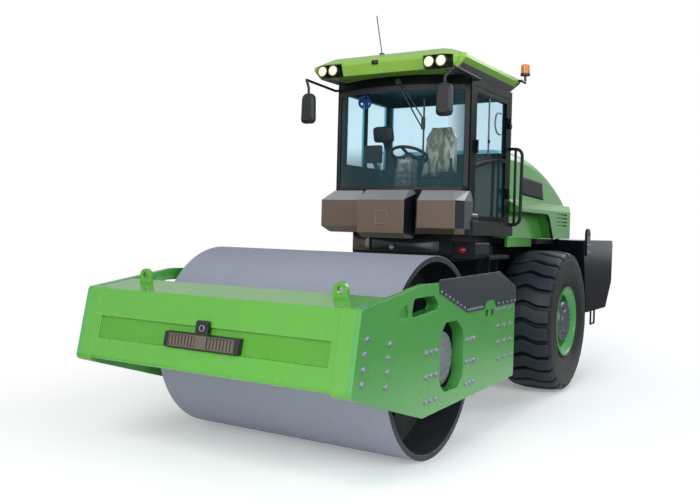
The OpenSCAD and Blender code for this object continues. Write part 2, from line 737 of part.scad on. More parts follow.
module fairing_side(side) {
    face = pivot_x + 575;
    outer = sill_half - 15;
    low = platform_z + 60;
    high = 2085;
    // The left shell leaves a dark channel beside the middle block
    inner = side > 0 ? 345 : 300;
    color(taupe) on_side(side) difference() {
        hull() {
            translate([0, 0, low]) linear_extrude(high - low) polygon([[cab_front - 20, inner], [face, inner], [face, outer - 50],
                [face - 110, outer], [cab_front - 20, outer]]);
            translate([0, 0, low - 55]) linear_extrude(1) polygon([[cab_front - 20, inner], [face - 90, inner],
                [face - 90, outer - 90], [face - 190, outer - 30], [cab_front - 20, outer - 30]]);
            translate([0, 0, glass_z - 6]) linear_extrude(1) polygon([[cab_front - 20, inner], [face - 110, inner],
                [face - 130, outer - 130], [cab_front + 20, cab_half + 6], [cab_front - 20, cab_half + 6]]);
        }
        // Room for the platform, the apron and the front post behind the shell
        translate([0, 0, platform_z - 1]) linear_extrude(platform_t + 1 + gap / 2) {
            translate([glass_cx, 0]) circle(r = glass_r + 1, $fn = 180);
            polygon(rounded([[cab_back, -sill_half - 1, 20], [cab_front + 61, -sill_half - 1, 60],
                [cab_front + 61, sill_half + 1, 60], [cab_back, sill_half + 1, 20]]));
        }
        translate([0, 0, platform_z]) linear_extrude(glass_z) {
            translate([glass_cx, 0]) circle(r = glass_r + 1, $fn = 180);
            translate([cab_back, -cab_half - 1]) square([cab_l + 1, cab_w + 2]);
        }
    }
}

module fairing_sides() {
    fairing_side(1);
    fairing_side(-1);
}

module fairing_centre() {
    face = pivot_x + 675;
    color(taupe) difference() {
        hull() {
            translate([0, 0, platform_z + 5]) linear_extrude(2085 - platform_z - 5)
                polygon([[cab_front + 100, -298], [face, -255], [face, 255], [cab_front + 100, 298]]);
            translate([0, 0, glass_z - 4]) linear_extrude(1)
                polygon([[cab_front + 100, -298], [face - 150, -240], [face - 150, 240], [cab_front + 100, 298]]);
            translate([0, 0, platform_z - 45]) linear_extrude(1)
                polygon([[cab_front + 100, -280], [face - 80, -230], [face - 80, 230], [cab_front + 100, 280]]);
        }
        translate([0, 0, platform_z - 60]) linear_extrude(glass_z)
            translate([glass_cx, 0]) circle(r = glass_r + 1, $fn = 180);
        block([cab_back, -400, platform_z - 60], [cab_front + 61, 400, platform_z + platform_t]);
    }
}

// Height of the door's arched rail at x
function arch_z(x) = 2420 + 130 * sin(90 * (door_front - x) / (door_front - door_back));

module door_frame() {
    y0 = cab_half - wall_t;
    edge = 48;
    color(dark) {
        difference() {
            block([door_back, y0, door_low], [door_front, cab_half, door_high]);
            block([door_back + edge, y0 - 1, door_low + edge], [door_front - edge, cab_half + 1, door_high - edge]);
        }
        along_y(y0, cab_half) polygon(concat(
            [for (i = [0:10]) let (x = door_front - edge + 1 - (door_front - door_back - 2 * edge + 2) * i / 10) [x, arch_z(x) - 18]],
            [for (i = [10:-1:0]) let (x = door_front - edge + 1 - (door_front - door_back - 2 * edge + 2) * i / 10) [x, arch_z(x) + 18]]));
        // Hinge knuckles on the lugs' pins
        for (z = [door_low + 250, door_high - 300]) difference() {
            union() {
                translate([hinge_x, hinge_y, z + 52]) cylinder(r = hinge_r, h = 56);
                block([hinge_x, cab_half - 1, z + 52], [hinge_x + 60, hinge_y, z + 108]);
            }
            translate([hinge_x, hinge_y, z + 51]) cylinder(r = hinge_pin_r + run, h = 58);
        }
        // Lever handle by the front edge
        block([door_front - 46, cab_half - 1, 2560], [door_front - 16, cab_half + 26, 2690]);
    }
}

module door_glass() {
    edge = 48;
    y = cab_half - wall_t / 2;
    x0 = door_back + edge;
    x1 = door_front - edge;
    color(glass) for (upper = [false, true]) along_y(y - glass_t / 2, y + glass_t / 2) polygon(concat(
        [for (i = [0:10]) let (x = x1 - (x1 - x0) * i / 10) [x, arch_z(x) + (upper ? 18.3 : -18.3)]],
        [[x0, upper ? door_high - edge : door_low + edge], [x1, upper ? door_high - edge : door_low + edge]]));
}

// Operator's station

seat_x = cab_back + 430;
floor_z = floor_top - 60;

module seat_base() {
    color(dark) {
        block([seat_x - 230, -220, floor_z], [seat_x + 230, 220, floor_z + 90]);
        hull() {
            block([seat_x - 200, -190, floor_z + 90], [seat_x + 200, 190, floor_z + 100]);
            block([seat_x - 150, -150, floor_z + 300], [seat_x + 190, 150, floor_z + 330]);
        }
        block([seat_x - 235, -230, floor_z + 330], [seat_x + 250, 230, floor_z + 360]);
        // Back carrier
        block([seat_x - 235, -120, floor_z + 355], [seat_x - 195, 120, floor_z + 520]);
    }
}

module seat_cushion() {
    color(rubber) hull() {
        block([seat_x - 190, -240, floor_z + 360.3], [seat_x + 260, 240, floor_z + 400]);
        block([seat_x - 190, -215, floor_z + 400], [seat_x + 235, 215, floor_z + 470]);
    }
}

module seat_back() {
    color(rubber) hull() {
        block([seat_x - 300, -220, floor_z + 520.3], [seat_x - 195, 220, floor_z + 560]);
        block([seat_x - 350, -200, floor_z + 1000], [seat_x - 260, 200, floor_z + 1010]);
        block([seat_x - 360, -130, floor_z + 1130], [seat_x - 280, 130, floor_z + 1140]);
    }
}

module operator_console() {
    column_x = seat_x + 560;
    color(dark) {
        // Arm consoles beside the seat
        for (s = [-1, 1]) on_side(s) {
            block([seat_x - 200, 275, floor_z], [seat_x + 330, 420, floor_z + 560]);
            translate([seat_x + 240, 350, floor_z + 559]) cylinder(r1 = 34, r2 = 18, h = 60);
            translate([seat_x + 240, 350, floor_z + 618]) cylinder(r = 16, h = 90);
        }
        // Steering column with its cowl, and the display on its stalk
        hull() {
            block([column_x - 20, -110, floor_z], [column_x + 160, 110, floor_z + 20]);
            block([column_x - 90, -80, floor_z + 660], [column_x + 40, 80, floor_z + 680]);
        }
        translate([column_x - 44, 0, floor_z + 690]) rotate([0, -22, 0]) translate([0, 0, -60]) cylinder(r = 30, h = 67.7);
        bar([column_x + 90, -130, floor_z + 300], [column_x + 90, -330, floor_z + 660], 22);
        bar([column_x + 90, -60, floor_z + 300], [column_x + 90, -140, floor_z + 315], 22);
        hull() {
            block([column_x + 60, -440, floor_z + 640], [column_x + 120, -250, floor_z + 820]);
            block([column_x + 20, -420, floor_z + 660], [column_x + 30, -270, floor_z + 800]);
        }
    }
}

module steering_wheel() {
    column_x = seat_x + 560;
    color(rubber) translate([column_x - 44, 0, floor_z + 690]) rotate([0, -22, 0]) {
        rotate_extrude($fn = 64) translate([185, 40]) circle(r = 16, $fn = 24);
        translate([0, 0, 8]) cylinder(r = 48, h = 40);
        for (a = [0, 120, 240]) rotate([0, 0, a]) translate([40, -16, 28]) cube([140, 32, 14]);
    }
}

// Cab fittings

module mirrors() {
    x = pivot_x + 870;
    color(dark) for (s = [-1, 1]) on_side(s) {
        tube([[cab_front - 40, cab_half + seat_gap, 3255], [cab_front - 40, cab_half + 62, 3255], [x - 60, 800, 3275],
            [x, 732, 3180], [x, 732, 3120]], 13);
        hull() {
            along_x(x - 22, x + 8) polygon(rounded([[652, 2828, 45], [812, 2828, 45], [804, 3126, 60], [660, 3126, 60]], 4));
            along_x(x + 8, x + 34) polygon(rounded([[676, 2858, 40], [788, 2858, 40], [782, 3096, 45], [682, 3096, 45]], 4));
        }
    }
}

module beacon() {
    base = [cab_back - 73, cab_half + 112];
    half = cab_half + 80;
    color("darkorange") {
        translate([base.x, base.y, roof_z + 188]) cylinder(r = 52, h = 24);
        translate([base.x, base.y, roof_z + 212]) cylinder(r1 = 50, r2 = 46, h = 84);
        translate([base.x, base.y, roof_z + 296]) cylinder(r1 = 46, r2 = 34, h = 10);
        tube([[base.x, base.y, roof_z + 189], [base.x, base.y, roof_z + 113], [base.x + 120, base.y, roof_z + 113],
            [base.x + 120, half + seat_gap, roof_z + 113]], 14);
    }
}

module antenna() {
    foot = [pivot_x + 560, -84, roof_z + roof_h];
    color(dark) {
        translate(foot) cylinder(r = 26, h = 22);
        bar(foot + [0, 0, 8], foot + [4, -68, 396], 5, $fn = 10);
    }
}

// X of the windscreen's outer face at y
function glass_x(y) = glass_cx + sqrt(pow(glass_r, 2) - y * y);

module wiper() {
    color(dark) {
        // Two arms from a pivot on the header to an upright blade
        x_cylinder(85, header_z + 30, 30, glass_x(55) + seat_gap, glass_x(85) + 34);
        bar([glass_x(85) + 26, 70, header_z + 30], [glass_x(330) + 26, 330, 2790], 7);
        bar([glass_x(85) + 26, 100, header_z + 30], [glass_x(350) + 26, 350, 2860], 7);
        bar([glass_x(345) + 14, 345, 3060], [glass_x(345) + 14, 345, 2520], 9);
        block([glass_x(345) + 10, 325, 2770], [glass_x(345) + 34, 360, 2880]);
    }
}

module handrails() {
    x = cab_back + 50;
    out = cab_half + 140;
    color(dark) for (s = [-1, 1]) on_side(s) {
        // Closed loop: an outer grip, and an inner upright by the cab's wall
        tube([[x, cab_half + seat_gap, 2690], [x, out - 40, 2690], [x - 25, out, 2610],
            [x, out, 2000], [x + 5, out - 40, 1880], [x + 5, sill_half + seat_gap, 1880]], 17);
        bar([x, sill_half + 24, 2690], [x + 5, sill_half + 24, 1880], 14);
    }
}

module access_steps() {
    x0 = pivot_x - 750;
    x1 = pivot_x - 190;
    top = 1520;
    color(dark) for (s = [-1, 1]) on_side(s) {
        // Landing plate, two hangers and two rungs
        block([x0, deck_half + seat_gap, top], [x1, side_box_y, top + 36]);
        for (x = [x0 + 60, x1 - 260]) block([x, 640, 900], [x + 14, 700, top - seat_gap]);
        for (z = [900, 1200]) block([x0 + 74 + seat_gap, 620, z], [x1 - 260 - seat_gap, side_box_y, z + 30]);
    }
}

// Hood

// Side view of the hood: a long arc over the top and a tighter arc down to the rear edge. The section
// follows both arcs: a flat crown, round shoulders and sides that lean outwards with depth.
hood_low = deck_top + gap - 1;
hood_big_r = 4770;
hood_big = [hood_front - 380, hood_top - hood_big_r];
hood_tail_r = 520;
hood_tail = [hood_rear + hood_tail_r,
    hood_big.y + sqrt(pow(hood_big_r - hood_tail_r, 2) - pow(hood_rear + hood_tail_r - hood_big.x, 2))];
hood_touch = atan2(hood_tail.y - hood_big.y, hood_tail.x - hood_big.x);
hood_lean = 0.1;
shoulder_r = 150;
crown_half = hood_w / 2 - 70;
arch_x = wheel_x - 425;
ledge_z = 2022;
pod_rear = wheel_x - 1150;
grille_half = lug_y - 25;
grille_depth = 22;
pod_end = wheel_x - 1600;

// Half of the section as [radius, y], from the crown's middle down to a given depth
function hood_half(r, inset, deep) = let (h = crown_half - inset, s = shoulder_r - inset) concat(
    [for (i = [0:6]) [r - s + s * cos(15 * i), h - s + s * sin(15 * i)]],
    [[r - deep, h + hood_lean * (deep - s)]]);

function hood_ring(r, inset, deep) = let (half = hood_half(r, inset, deep)) concat(half,
    [for (i = [len(half) - 1:-1:0]) [half[i].x, -half[i].y]]);

module hood_turn(centre, r, inset, deep) {
    translate([centre.x, 0, centre.y]) rotate([90, 0, 0])
        rotate_extrude($fn = 180) polygon(hood_ring(r - inset, inset, deep));
}

// Body of the hood, its faces moved inwards by inset, standing on z0
module hood_body(inset, z0) {
    far = hood_big_r + 90;
    start = acos((hood_front - hood_big.x) / far);
    steps = 6;
    lap = 2;
    tail = hood_tail_r - inset;
    intersection() {
        hood_turn(hood_big, hood_big_r, inset, 1400);
        along_y(-hood_w, hood_w) polygon(concat(
            [[hood_tail.x, z0], [hood_front - inset, z0], [hood_front - inset, hood_top + 60]],
            [for (i = [1:steps]) let (a = start + (hood_touch - start) * i / steps) hood_big + far * [cos(a), sin(a)]],
            [hood_tail]));
    }
    // Each lower piece stands half a millimetre inside the one above it and laps into it
    intersection() {
        hood_turn(hood_tail, hood_tail_r, inset + lap / 4, tail - lap / 4);
        along_y(-hood_w, hood_w) polygon([hood_tail + [lap, -lap], hood_tail + [lap, 900],
            hood_tail + 900 * [cos(hood_touch - 2), sin(hood_touch - 2)],
            hood_tail + [-900, 800], hood_tail + [-900, -lap]]);
    }
    translate([hood_tail.x, 0, z0]) linear_extrude(hood_tail.y - z0)
        polygon([for (p = hood_ring(tail - lap / 2, inset + lap / 2, tail + lap)) [-p.x, p.y]]);
}

// Side pod: a ledge behind the cab that arches down into a flush rear quarter
module hood_pod() {
    root = hood_w / 2 - 120;
    intersection() {
        along_y(root, ledge_w / 2) polygon(rounded([[hood_front, ledge_z, 0], [arch_x + 200, ledge_z, 130],
            [arch_x, hood_low, 0], [pod_end, hood_low, 0], [pod_end, ledge_z + 160, 0],
            [hood_front, ledge_z + 160, 0]], 6));
        along_x(pod_end - 1, hood_front + 1) polygon([[root - 1, hood_low - 1], [ledge_w / 2, hood_low - 1],
            [ledge_w / 2, ledge_z + 50], [hood_w / 2 - 20, ledge_z + 140], [root - 1, ledge_z + 155]]);
        translate([0, 0, hood_low - 1]) linear_extrude(500) polygon([[hood_front + 1, 0], [hood_front + 1, ledge_w / 2],
            [pod_rear, ledge_w / 2], [pod_end, hood_w / 2 - 10], [pod_end, 0]]);
    }
}

module hood() {
    skirt_low = 1640;
    color(paint) difference() {
        union() {
            difference() {
                union() {
                    hood_body(0, hood_low);
                    for (s = [-1, 1]) on_side(s) {
                        hood_pod();
                        // Skirt between the cab and the wheel
                        block([wheel_x - 5, hood_w / 2 - 32, skirt_low], [hood_front, hood_w / 2, hood_low + 60]);
                    }
                }
                hood_body(hood_t, hood_low - 1);
                // Air slots in the rear quarters
                for (s = [-1, 1]) on_side(s) for (i = [0:3])
                    along_y(ledge_w / 2 - 25, ledge_w / 2 + 1) polygon(rounded([
                        [wheel_x - 1010, 1882 + 46 * i, 10], [wheel_x - 560, 1882 + 46 * i, 10],
                        [wheel_x - 560, 1904 + 46 * i, 10], [wheel_x - 1010, 1904 + 46 * i, 10]], 3));
                // Radiator grille: slots across the round tail
                for (i = [0:6]) translate([hood_tail.x, 0, hood_tail.y]) rotate([0, -126 - 7 * i, 0])
                    block([hood_tail_r - grille_depth, -grille_half, -12], [hood_tail_r + 10, grille_half, 12]);
            }
            // Hinge lugs inside the rear wall
            for (s = [-1, 1]) on_side(s) block([hood_rear + 5, lug_y, hood_low], [hood_hinge_x + 32, lug_out, hood_hinge_z + 34]);
        }
        for (s = [-1, 1]) on_side(s) {
            y_cylinder(hood_hinge_x, hood_hinge_z, 15 + run, lug_y - 1, lug_out + 1);
            // Notch round the ballast box's hinge ear
            block([hood_rear - 2, lug_out, hood_low - 1], [hood_rear + 90, lug_out + 58, hood_hinge_z + 34]);
        }
    }
}

module rear_ballast() {
    half = ballast_w / 2;
    back = wheel_x - rear_reach + 19;
    sling_x = wheel_x - 812;
    color(dark) {
        difference() {
            along_y(-half, half) polygon(rounded([[ballast_front_top, ballast_top, 12], [back, ballast_top, 60],
                [back + 20, 1165, 90], [back + 320, ballast_low, 40], [ballast_front_low, ballast_low, 12]]));
            // Room between the rails for the axle's rear
            block([ballast_front_low - 1, -rail_y + rail_t, ballast_low - 1], [ballast_front_top + 1, rail_y - rail_t, 1000]);
        }
        for (s = [-1, 1]) on_side(s) {
            difference() {
                along_y(half, half + 30) polygon(rounded([
                    [sling_x + 78, ballast_top + 145, 70], [sling_x - 78, ballast_top + 145, 70],
                    [sling_x - 78, ballast_top - 190, 20], [sling_x + 78, ballast_top - 190, 20]]));
                y_cylinder(sling_x, ballast_top + 80, 28, half - 1, half + 31);
            }
            // Hinge ears of the hood
            y_cylinder(hood_hinge_x, hood_hinge_z, 15, lug_y + 1, lug_out + 48);
            y_cylinder(hood_hinge_x, hood_hinge_z, 22, lug_out + 8, lug_out + 50);
            block([hood_hinge_x - 22, lug_out + 8, ballast_top - 1], [hood_hinge_x + 22, lug_out + 50, hood_hinge_z]);
        }
    }
}

module rear_steps() {
    x = wheel_x - 1370;
    color(steel) for (s = [-1, 1]) on_side(s)
        tube([[x - 90, 1110, ballast_low], [x - 90, 1110, 650], [x + 90, 1110, 650], [x + 90, 1110, ballast_low]], 12);
}

module tail_lamps() {
    back = wheel_x - rear_reach;
    function rear_face(z) = back + 19 + 20 * (ballast_top - z) / (ballast_top - 1165) - seat_gap;
    color("firebrick") for (s = [-1, 1]) on_side(s) along_y(780, 1000) polygon([
        [back, 1484], [rear_face(1480), 1480], [rear_face(1580), 1580], [back, 1576]]);
}

module power_unit() {
    color(dark) block([hood_rear + 500, -430, deck_top], [hood_front - 220, 430, 2260]);
}

front_beam();
side_plate(1);  // side_plate_left
side_plate(-1);  // side_plate_right
rear_crossmember();
frame_covers();
drum_mounts();
front_lift_eyes();
sensor_bar();
drum_shell();
drum_ends();
hitch_block();
steer_barrel(1);  // steer_barrel_left
steer_barrel(-1);  // steer_barrel_right
steer_rod(1);  // steer_rod_left
steer_rod(-1);  // steer_rod_right
rear_frame();
deck_frame();
rear_axle();
tyre(1);  // tyre_left
tyre(-1);  // tyre_right
rim(1);  // rim_left
rim(-1);  // rim_right
cab_platform();
cab_frame();
windscreen();
side_glass();
rear_glass();
roof();
fairing_centre();
fairing_sides();
door_frame();
door_glass();
seat_base();
seat_cushion();
seat_back();
operator_console();
steering_wheel();
mirrors();
work_lights();
beacon();
antenna();
wiper();
handrails();
access_steps();
hood();
rear_ballast();
rear_steps();
tail_lamps();
power_unit();
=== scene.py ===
import math

import bmesh
import bpy
import numpy as np
from mathutils import Matrix, Vector


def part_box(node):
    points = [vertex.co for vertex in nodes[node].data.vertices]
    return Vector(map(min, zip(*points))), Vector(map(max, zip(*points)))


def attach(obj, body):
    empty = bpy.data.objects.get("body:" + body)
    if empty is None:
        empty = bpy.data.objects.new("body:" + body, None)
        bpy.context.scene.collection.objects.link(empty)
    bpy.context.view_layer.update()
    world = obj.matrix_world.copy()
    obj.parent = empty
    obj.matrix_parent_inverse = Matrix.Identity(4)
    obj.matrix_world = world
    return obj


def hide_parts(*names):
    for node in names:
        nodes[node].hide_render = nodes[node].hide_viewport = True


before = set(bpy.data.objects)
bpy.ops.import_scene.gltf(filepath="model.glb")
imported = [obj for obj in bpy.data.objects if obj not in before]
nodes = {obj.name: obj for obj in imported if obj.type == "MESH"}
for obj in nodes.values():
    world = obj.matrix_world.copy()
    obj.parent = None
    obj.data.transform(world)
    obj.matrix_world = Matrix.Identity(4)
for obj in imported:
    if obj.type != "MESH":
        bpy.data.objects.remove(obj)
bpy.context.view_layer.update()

# The stand: a camera at eye height ahead of the machine and to its left, over a pale studio floor.
# The camera's place, turn and lens were solved from the straight edges in the photograph.
# The floor takes a soft shadow near the machine and fades to plain white away from it.
photo_w, photo_h = 700, 504
centre_px = (331.4, 240.0)
focal_px = 803.4
eye = Vector((7.8565, 3.720, 1.799))
yaw, pitch, roll = 3.69928, -0.01514, 0.02553
forward = Vector((math.cos(yaw) * math.cos(pitch), math.sin(yaw) * math.cos(pitch), math.sin(pitch)))
right = Vector((math.sin(yaw), -math.cos(yaw), 0.0))
up = right.cross(forward)
image_x = right * math.cos(roll) + up * math.sin(roll)
image_y = up * math.cos(roll) - right * math.sin(roll)
camera = bpy.data.objects.new("camera", bpy.data.cameras.new("camera"))
bpy.context.scene.collection.objects.link(camera)
camera.matrix_world = Matrix.Translation(eye) @ Matrix((image_x, image_y, -forward)).transposed().to_4x4()
camera.data.sensor_width = 36.0
camera.data.lens = camera.data.sensor_width * focal_px / photo_w
camera.data.shift_x = (photo_w / 2 - centre_px[0]) / photo_w
camera.data.shift_y = (centre_px[1] - photo_h / 2) / photo_w
camera.data.clip_end = 300.0
bpy.context.scene.camera = camera
bpy.context.scene.view_settings.view_transform = "Standard"


def shader(name):
    """An empty material with its Principled shader: returns the material, its tree and the shader."""
    material = bpy.data.materials.new(name)
    material.use_nodes = True
    tree = material.node_tree
    return material, tree, tree.nodes["Principled BSDF"]


def join(target, inputs):
    """Sets a shader node's inputs, each to a value or another node's output. Colours are red, green, blue."""
    for key, value in inputs.items():
        socket = target.inputs[key]
        if isinstance(value, bpy.types.NodeSocket):
            target.id_data.links.new(value, socket)
        elif socket.type == "RGBA":
            socket.default_value = (*value, 1)
        else:
            socket.default_value = value


def surface(bsdf, **values):
    """Sets a shader's own sockets. Each is named with _ for a space."""
    join(bsdf, {label.replace("_", " "): value for label, value in values.items()})


def node(tree, kind, inputs=None, **settings):
    """A shader node: settings are its own choices, and inputs are what its sockets take."""
    made = tree.nodes.new("ShaderNode" + kind)
    for key, value in settings.items():
        setattr(made, key, value)
    join(made, inputs or {})
    return made


def parts(tree, label="Object"):
    """The three parts of a texture coordinate, by default the place of the point that is shaded."""
    return node(tree, "SeparateXYZ", {0: node(tree, "TexCoord").outputs[label]}).outputs


def ramp(tree, value, low, high, to_low=0.0, to_high=1.0):
    """A value carried smoothly from one span to another, and held at both ends."""
    return node(tree, "MapRange", {0: value, 1: low, 2: high, 3: to_low, 4: to_high},
                interpolation_type="SMOOTHSTEP").outputs[0]


def maths(tree, operation, *terms):
    """One arithmetic step on values or outputs."""
    return node(tree, "Math", dict(enumerate(terms)), operation=operation).outputs[0]


def blend(tree, share, first, second):
    """Two colours mixed by a share."""
    return node(tree, "Mix", {0: share, 6: first, 7: second}, data_type="RGBA").outputs[2]


world = bpy.data.worlds.new("studio")
bpy.context.scene.world = world
world.use_nodes = True
sky = world.node_tree
sky.nodes.clear()
rays = node(sky, "LightPath").outputs
mirrored_share = 0.3
seen = maths(sky, "MAXIMUM", rays["Is Camera Ray"], rays["Is Transmission Ray"])
seen = maths(sky, "MAXIMUM", seen, maths(sky, "MULTIPLY", rays["Is Glossy Ray"], mirrored_share))
horizon, zenith = -0.1, 0.75
horizon_light, zenith_light = 0.56, 0.36
strength = ramp(sky, parts(sky, "Generated")[2], horizon, zenith, horizon_light, zenith_light)
dim = node(sky, "Background", {"Color": (0.90, 0.96, 1.0), "Strength": strength})
bright = node(sky, "Background", {"Color": (1, 1, 1), "Strength": 1.0})
both = node(sky, "MixShader", {0: seen, 1: dim.outputs[0], 2: bright.outputs[0]})
node(sky, "OutputWorld", {"Surface": both.outputs[0]})


def lamp(name, place, aim, size, watts, tint=(1.0, 1.0, 1.0)):
    """A square soft box at a place, turned to face a point."""
    light = bpy.data.lights.new(name, "AREA")
    light.size = size
    light.energy = watts
    light.color = tint
    holder = bpy.data.objects.new(name, light)
    bpy.context.scene.collection.objects.link(holder)
    turn = (Vector(aim) - Vector(place)).to_track_quat("-Z", "Y")
    holder.matrix_world = Matrix.Translation(place) @ turn.to_matrix().to_4x4()


lamp("key", place=(12.0, 1.5, 8.5), aim=(0.5, 0.0, 1.2), size=6.0, watts=900, tint=(1.0, 0.98, 0.94))
lamp("fill", place=(5.0, 11.0, 5.0), aim=(0.0, 0.0, 1.2), size=7.0, watts=680, tint=(0.85, 0.96, 1.0))
lamp("low", place=(8.0, 0.6, 0.5), aim=(2.0, 0.0, 0.6), size=3.0, watts=125, tint=(0.96, 0.98, 1.0))
lamp("back", place=(-9.0, 3.0, 8.0), aim=(-1.0, 0.0, 1.5), size=6.0, watts=420)

floor_half = 60.0
floor_mesh = bpy.data.meshes.new("floor")
floor_corners = [(x * floor_half, y * floor_half, 0) for x, y in ((-1, -1), (1, -1), (1, 1), (-1, 1))]
floor_mesh.from_pydata(floor_corners, [], [(0, 1, 2, 3)])
floor = bpy.data.objects.new("floor", floor_mesh)
bpy.context.scene.collection.objects.link(floor)
floor_paint, tree, bsdf = shader("floor_paint")
fade_reach_x, fade_reach_y, fade_start = 9.1, 4.55, 0.35
floor_place = node(tree, "TexCoord").outputs["Object"]
fade_scale = (1 / fade_reach_x, 1 / fade_reach_y, 0)
away = node(tree, "VectorMath", {0: floor_place, 1: fade_scale}, operation="MULTIPLY")
away = node(tree, "VectorMath", {0: away.outputs[0]}, operation="LENGTH").outputs["Value"]
fade = ramp(tree, away, fade_start, 1.0)
floor_seen = node(tree, "LightPath").outputs["Is Camera Ray"]
floor_near = blend(tree, floor_seen, (0.88, 0.87, 0.85), (0.86, 0.87, 0.88))
floor_glow = blend(tree, fade, (0.22, 0.22, 0.22), (1, 1, 1))
surface(bsdf, Base_Color=blend(tree, fade, floor_near, (0, 0, 0)), Roughness=0.9, Specular_IOR_Level=0.0,
        Emission_Color=blend(tree, floor_seen, (0.10, 0.10, 0.10), floor_glow), Emission_Strength=1.0)
floor_mesh.materials.append(floor_paint)

# The drum yoke: a welded box of thick plate, sprayed light green with a glossy coat over fine orange peel.
# Its front beam runs between two side plates, which are bolted through to the drum's mounts.
# The paint is a shader group, used again by all painted pieces: tone, a painted highlight along sharp edges,
# dust and grain.
drum_low, drum_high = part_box("drum_shell")
drum_x, axle_z = (drum_low.x + drum_high.x) / 2, (drum_low.z + drum_high.z) / 2
plate_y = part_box("side_plate_left")[1].y
beam_low, beam_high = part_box("front_beam")
pocket_half, pocket_back, pocket_edge = beam_high.y - 0.150, beam_low.x + 0.223, 0.006
pocket_low, pocket_high = beam_low.z + 0.184, beam_high.z - 0.257


def above(tree, value, limit):
    """A mask that is 1 where a value is greater than a limit."""
    return maths(tree, "GREATER_THAN", value, limit)


def below(tree, value, limit):
    """A mask that is 1 where a value is less than a limit."""
    return maths(tree, "LESS_THAN", value, limit)


def product(tree, *terms):
    """The product of values or outputs: a product of masks holds where all of them do."""
    made = terms[0]
    for term in terms[1:]:
        made = maths(tree, "MULTIPLY", made, term)
    return made


def noise(tree, scale, detail=2.0, distortion=0.0, vector=None):
    """Soft noise over the surface, or over another vector: scale is its count of lumps to a metre."""
    vector = vector or node(tree, "TexCoord").outputs["Object"]
    inputs = {"Vector": vector, "Scale": scale, "Detail": detail, "Distortion": distortion}
    return node(tree, "TexNoise", inputs).outputs[0]


def bump(tree, strength, depth, height, **normal):
    """A normal tilted by the slope of a height, on the given Normal or else the surface's own."""
    inputs = {"Strength": strength, "Distance": depth, "Height": height, **normal}
    return node(tree, "Bump", inputs).outputs[0]


def group(name, sockets):
    """An empty shader group: sockets are (label, side, kind, value). Returns the tree and its two ends."""
    tree = bpy.data.node_groups.new(name, "ShaderNodeTree")
    for label, side, kind, value in sockets:
        socket = tree.interface.new_socket(label, in_out=side, socket_type="NodeSocket" + kind)
        if value is not None:
            socket.default_value = value
    return tree, tree.nodes.new("NodeGroupInput").outputs, tree.nodes.new("NodeGroupOutput").inputs


coating, given, made = group("coating", (
    ("Color", "INPUT", "Color", (0.5, 0.5, 0.5, 1)), ("Edge", "INPUT", "Color", (0.8, 0.8, 0.8, 1)),
    ("Wear", "INPUT", "Float", 0.3), ("Gloss", "INPUT", "Float", 0.3), ("Mottle", "INPUT", "Float", 0.1),
    ("Dust", "INPUT", "Float", 0.1), ("Grain", "INPUT", "Float", 0.1),
    ("Grain Size", "INPUT", "Float", 400.0), ("Round", "INPUT", "Float", 0.006),
    ("Color", "OUTPUT", "Color", None), ("Roughness", "OUTPUT", "Float", None),
    ("Normal", "OUTPUT", "Vector", None)))
dust_top, dust_tint, dust_rough, sheen_spread, grain_depth = 1.3, (0.36, 0.33, 0.28), 0.5, 0.02, 0.002
flat_turn, sharp_turn, cloud_scale, speck_scale = 0.995, 0.80, 1.9, 34.0
cloud = noise(coating, cloud_scale, detail=5.0)
speck = noise(coating, speck_scale, detail=3.0)
grain = noise(coating, given["Grain Size"])
soft = node(coating, "Bevel", {"Radius": given["Round"]}, samples=4).outputs[0]
flat = node(coating, "NewGeometry").outputs["Normal"]
turn = node(coating, "VectorMath", {0: soft, 1: flat}, operation="DOT_PRODUCT").outputs["Value"]
# The lighter Edge colour on sharp edges, broken up by specks, is a painted highlight along the edges.
highlight_breakup = ramp(coating, speck, 0.25, 0.6, 0.45, 1.0)
edge = product(coating, ramp(coating, turn, flat_turn, sharp_turn), highlight_breakup, given["Wear"])
near_ground = ramp(coating, parts(coating)[2], dust_top, 0.0)
on_top = ramp(coating, parts(coating, "Normal")[2], 0.3, 1.0, 0.0, 0.5)
settled = maths(coating, "ADD", near_ground, on_top)
drifts = product(coating, ramp(coating, cloud, 0.35, 0.75), ramp(coating, speck, 0.2, 0.7))
dust = product(coating, settled, drifts, given["Dust"])
drift = maths(coating, "MULTIPLY_ADD", maths(coating, "SUBTRACT", cloud, 0.5), given["Mottle"], 1.0)
tone = node(coating, "HueSaturation", {"Value": drift, "Color": given["Color"]}).outputs[0]
tone = blend(coating, edge, tone, given["Edge"])
sheen = maths(coating, "MULTIPLY_ADD", maths(coating, "SUBTRACT", speck, 0.5), sheen_spread, given["Gloss"])
coating.links.new(blend(coating, dust, tone, dust_tint), made["Color"])
coating.links.new(maths(coating, "MULTIPLY_ADD", dust, dust_rough, sheen), made["Roughness"])
coating.links.new(bump(coating, given["Grain"], grain_depth, grain, Normal=soft), made["Normal"])


def coat(bsdf, color, **values):
    """Joins the coating group to a shader and returns its outputs. values set the group's inputs."""
    layer = bsdf.id_data.nodes.new("ShaderNodeGroup")
    layer.node_tree = coating
    join(layer, {"Color": color, **{label.replace("_", " "): value for label, value in values.items()}})
    outputs = layer.outputs
    surface(bsdf, Base_Color=outputs["Color"], Roughness=outputs["Roughness"], Normal=outputs["Normal"])
    return outputs


def painted(name, color, own, **values):
    """A material of one colour under the coating: own sets the shader's sockets, and values the group's."""
    material, _, bsdf = shader(name)
    coat(bsdf, color, **values)
    surface(bsdf, **own)
    return material


def dress(material, *names):
    """Gives these nodes of the construction a material."""
    for name in names:
        nodes[name].data.materials.clear()
        nodes[name].data.materials.append(material)


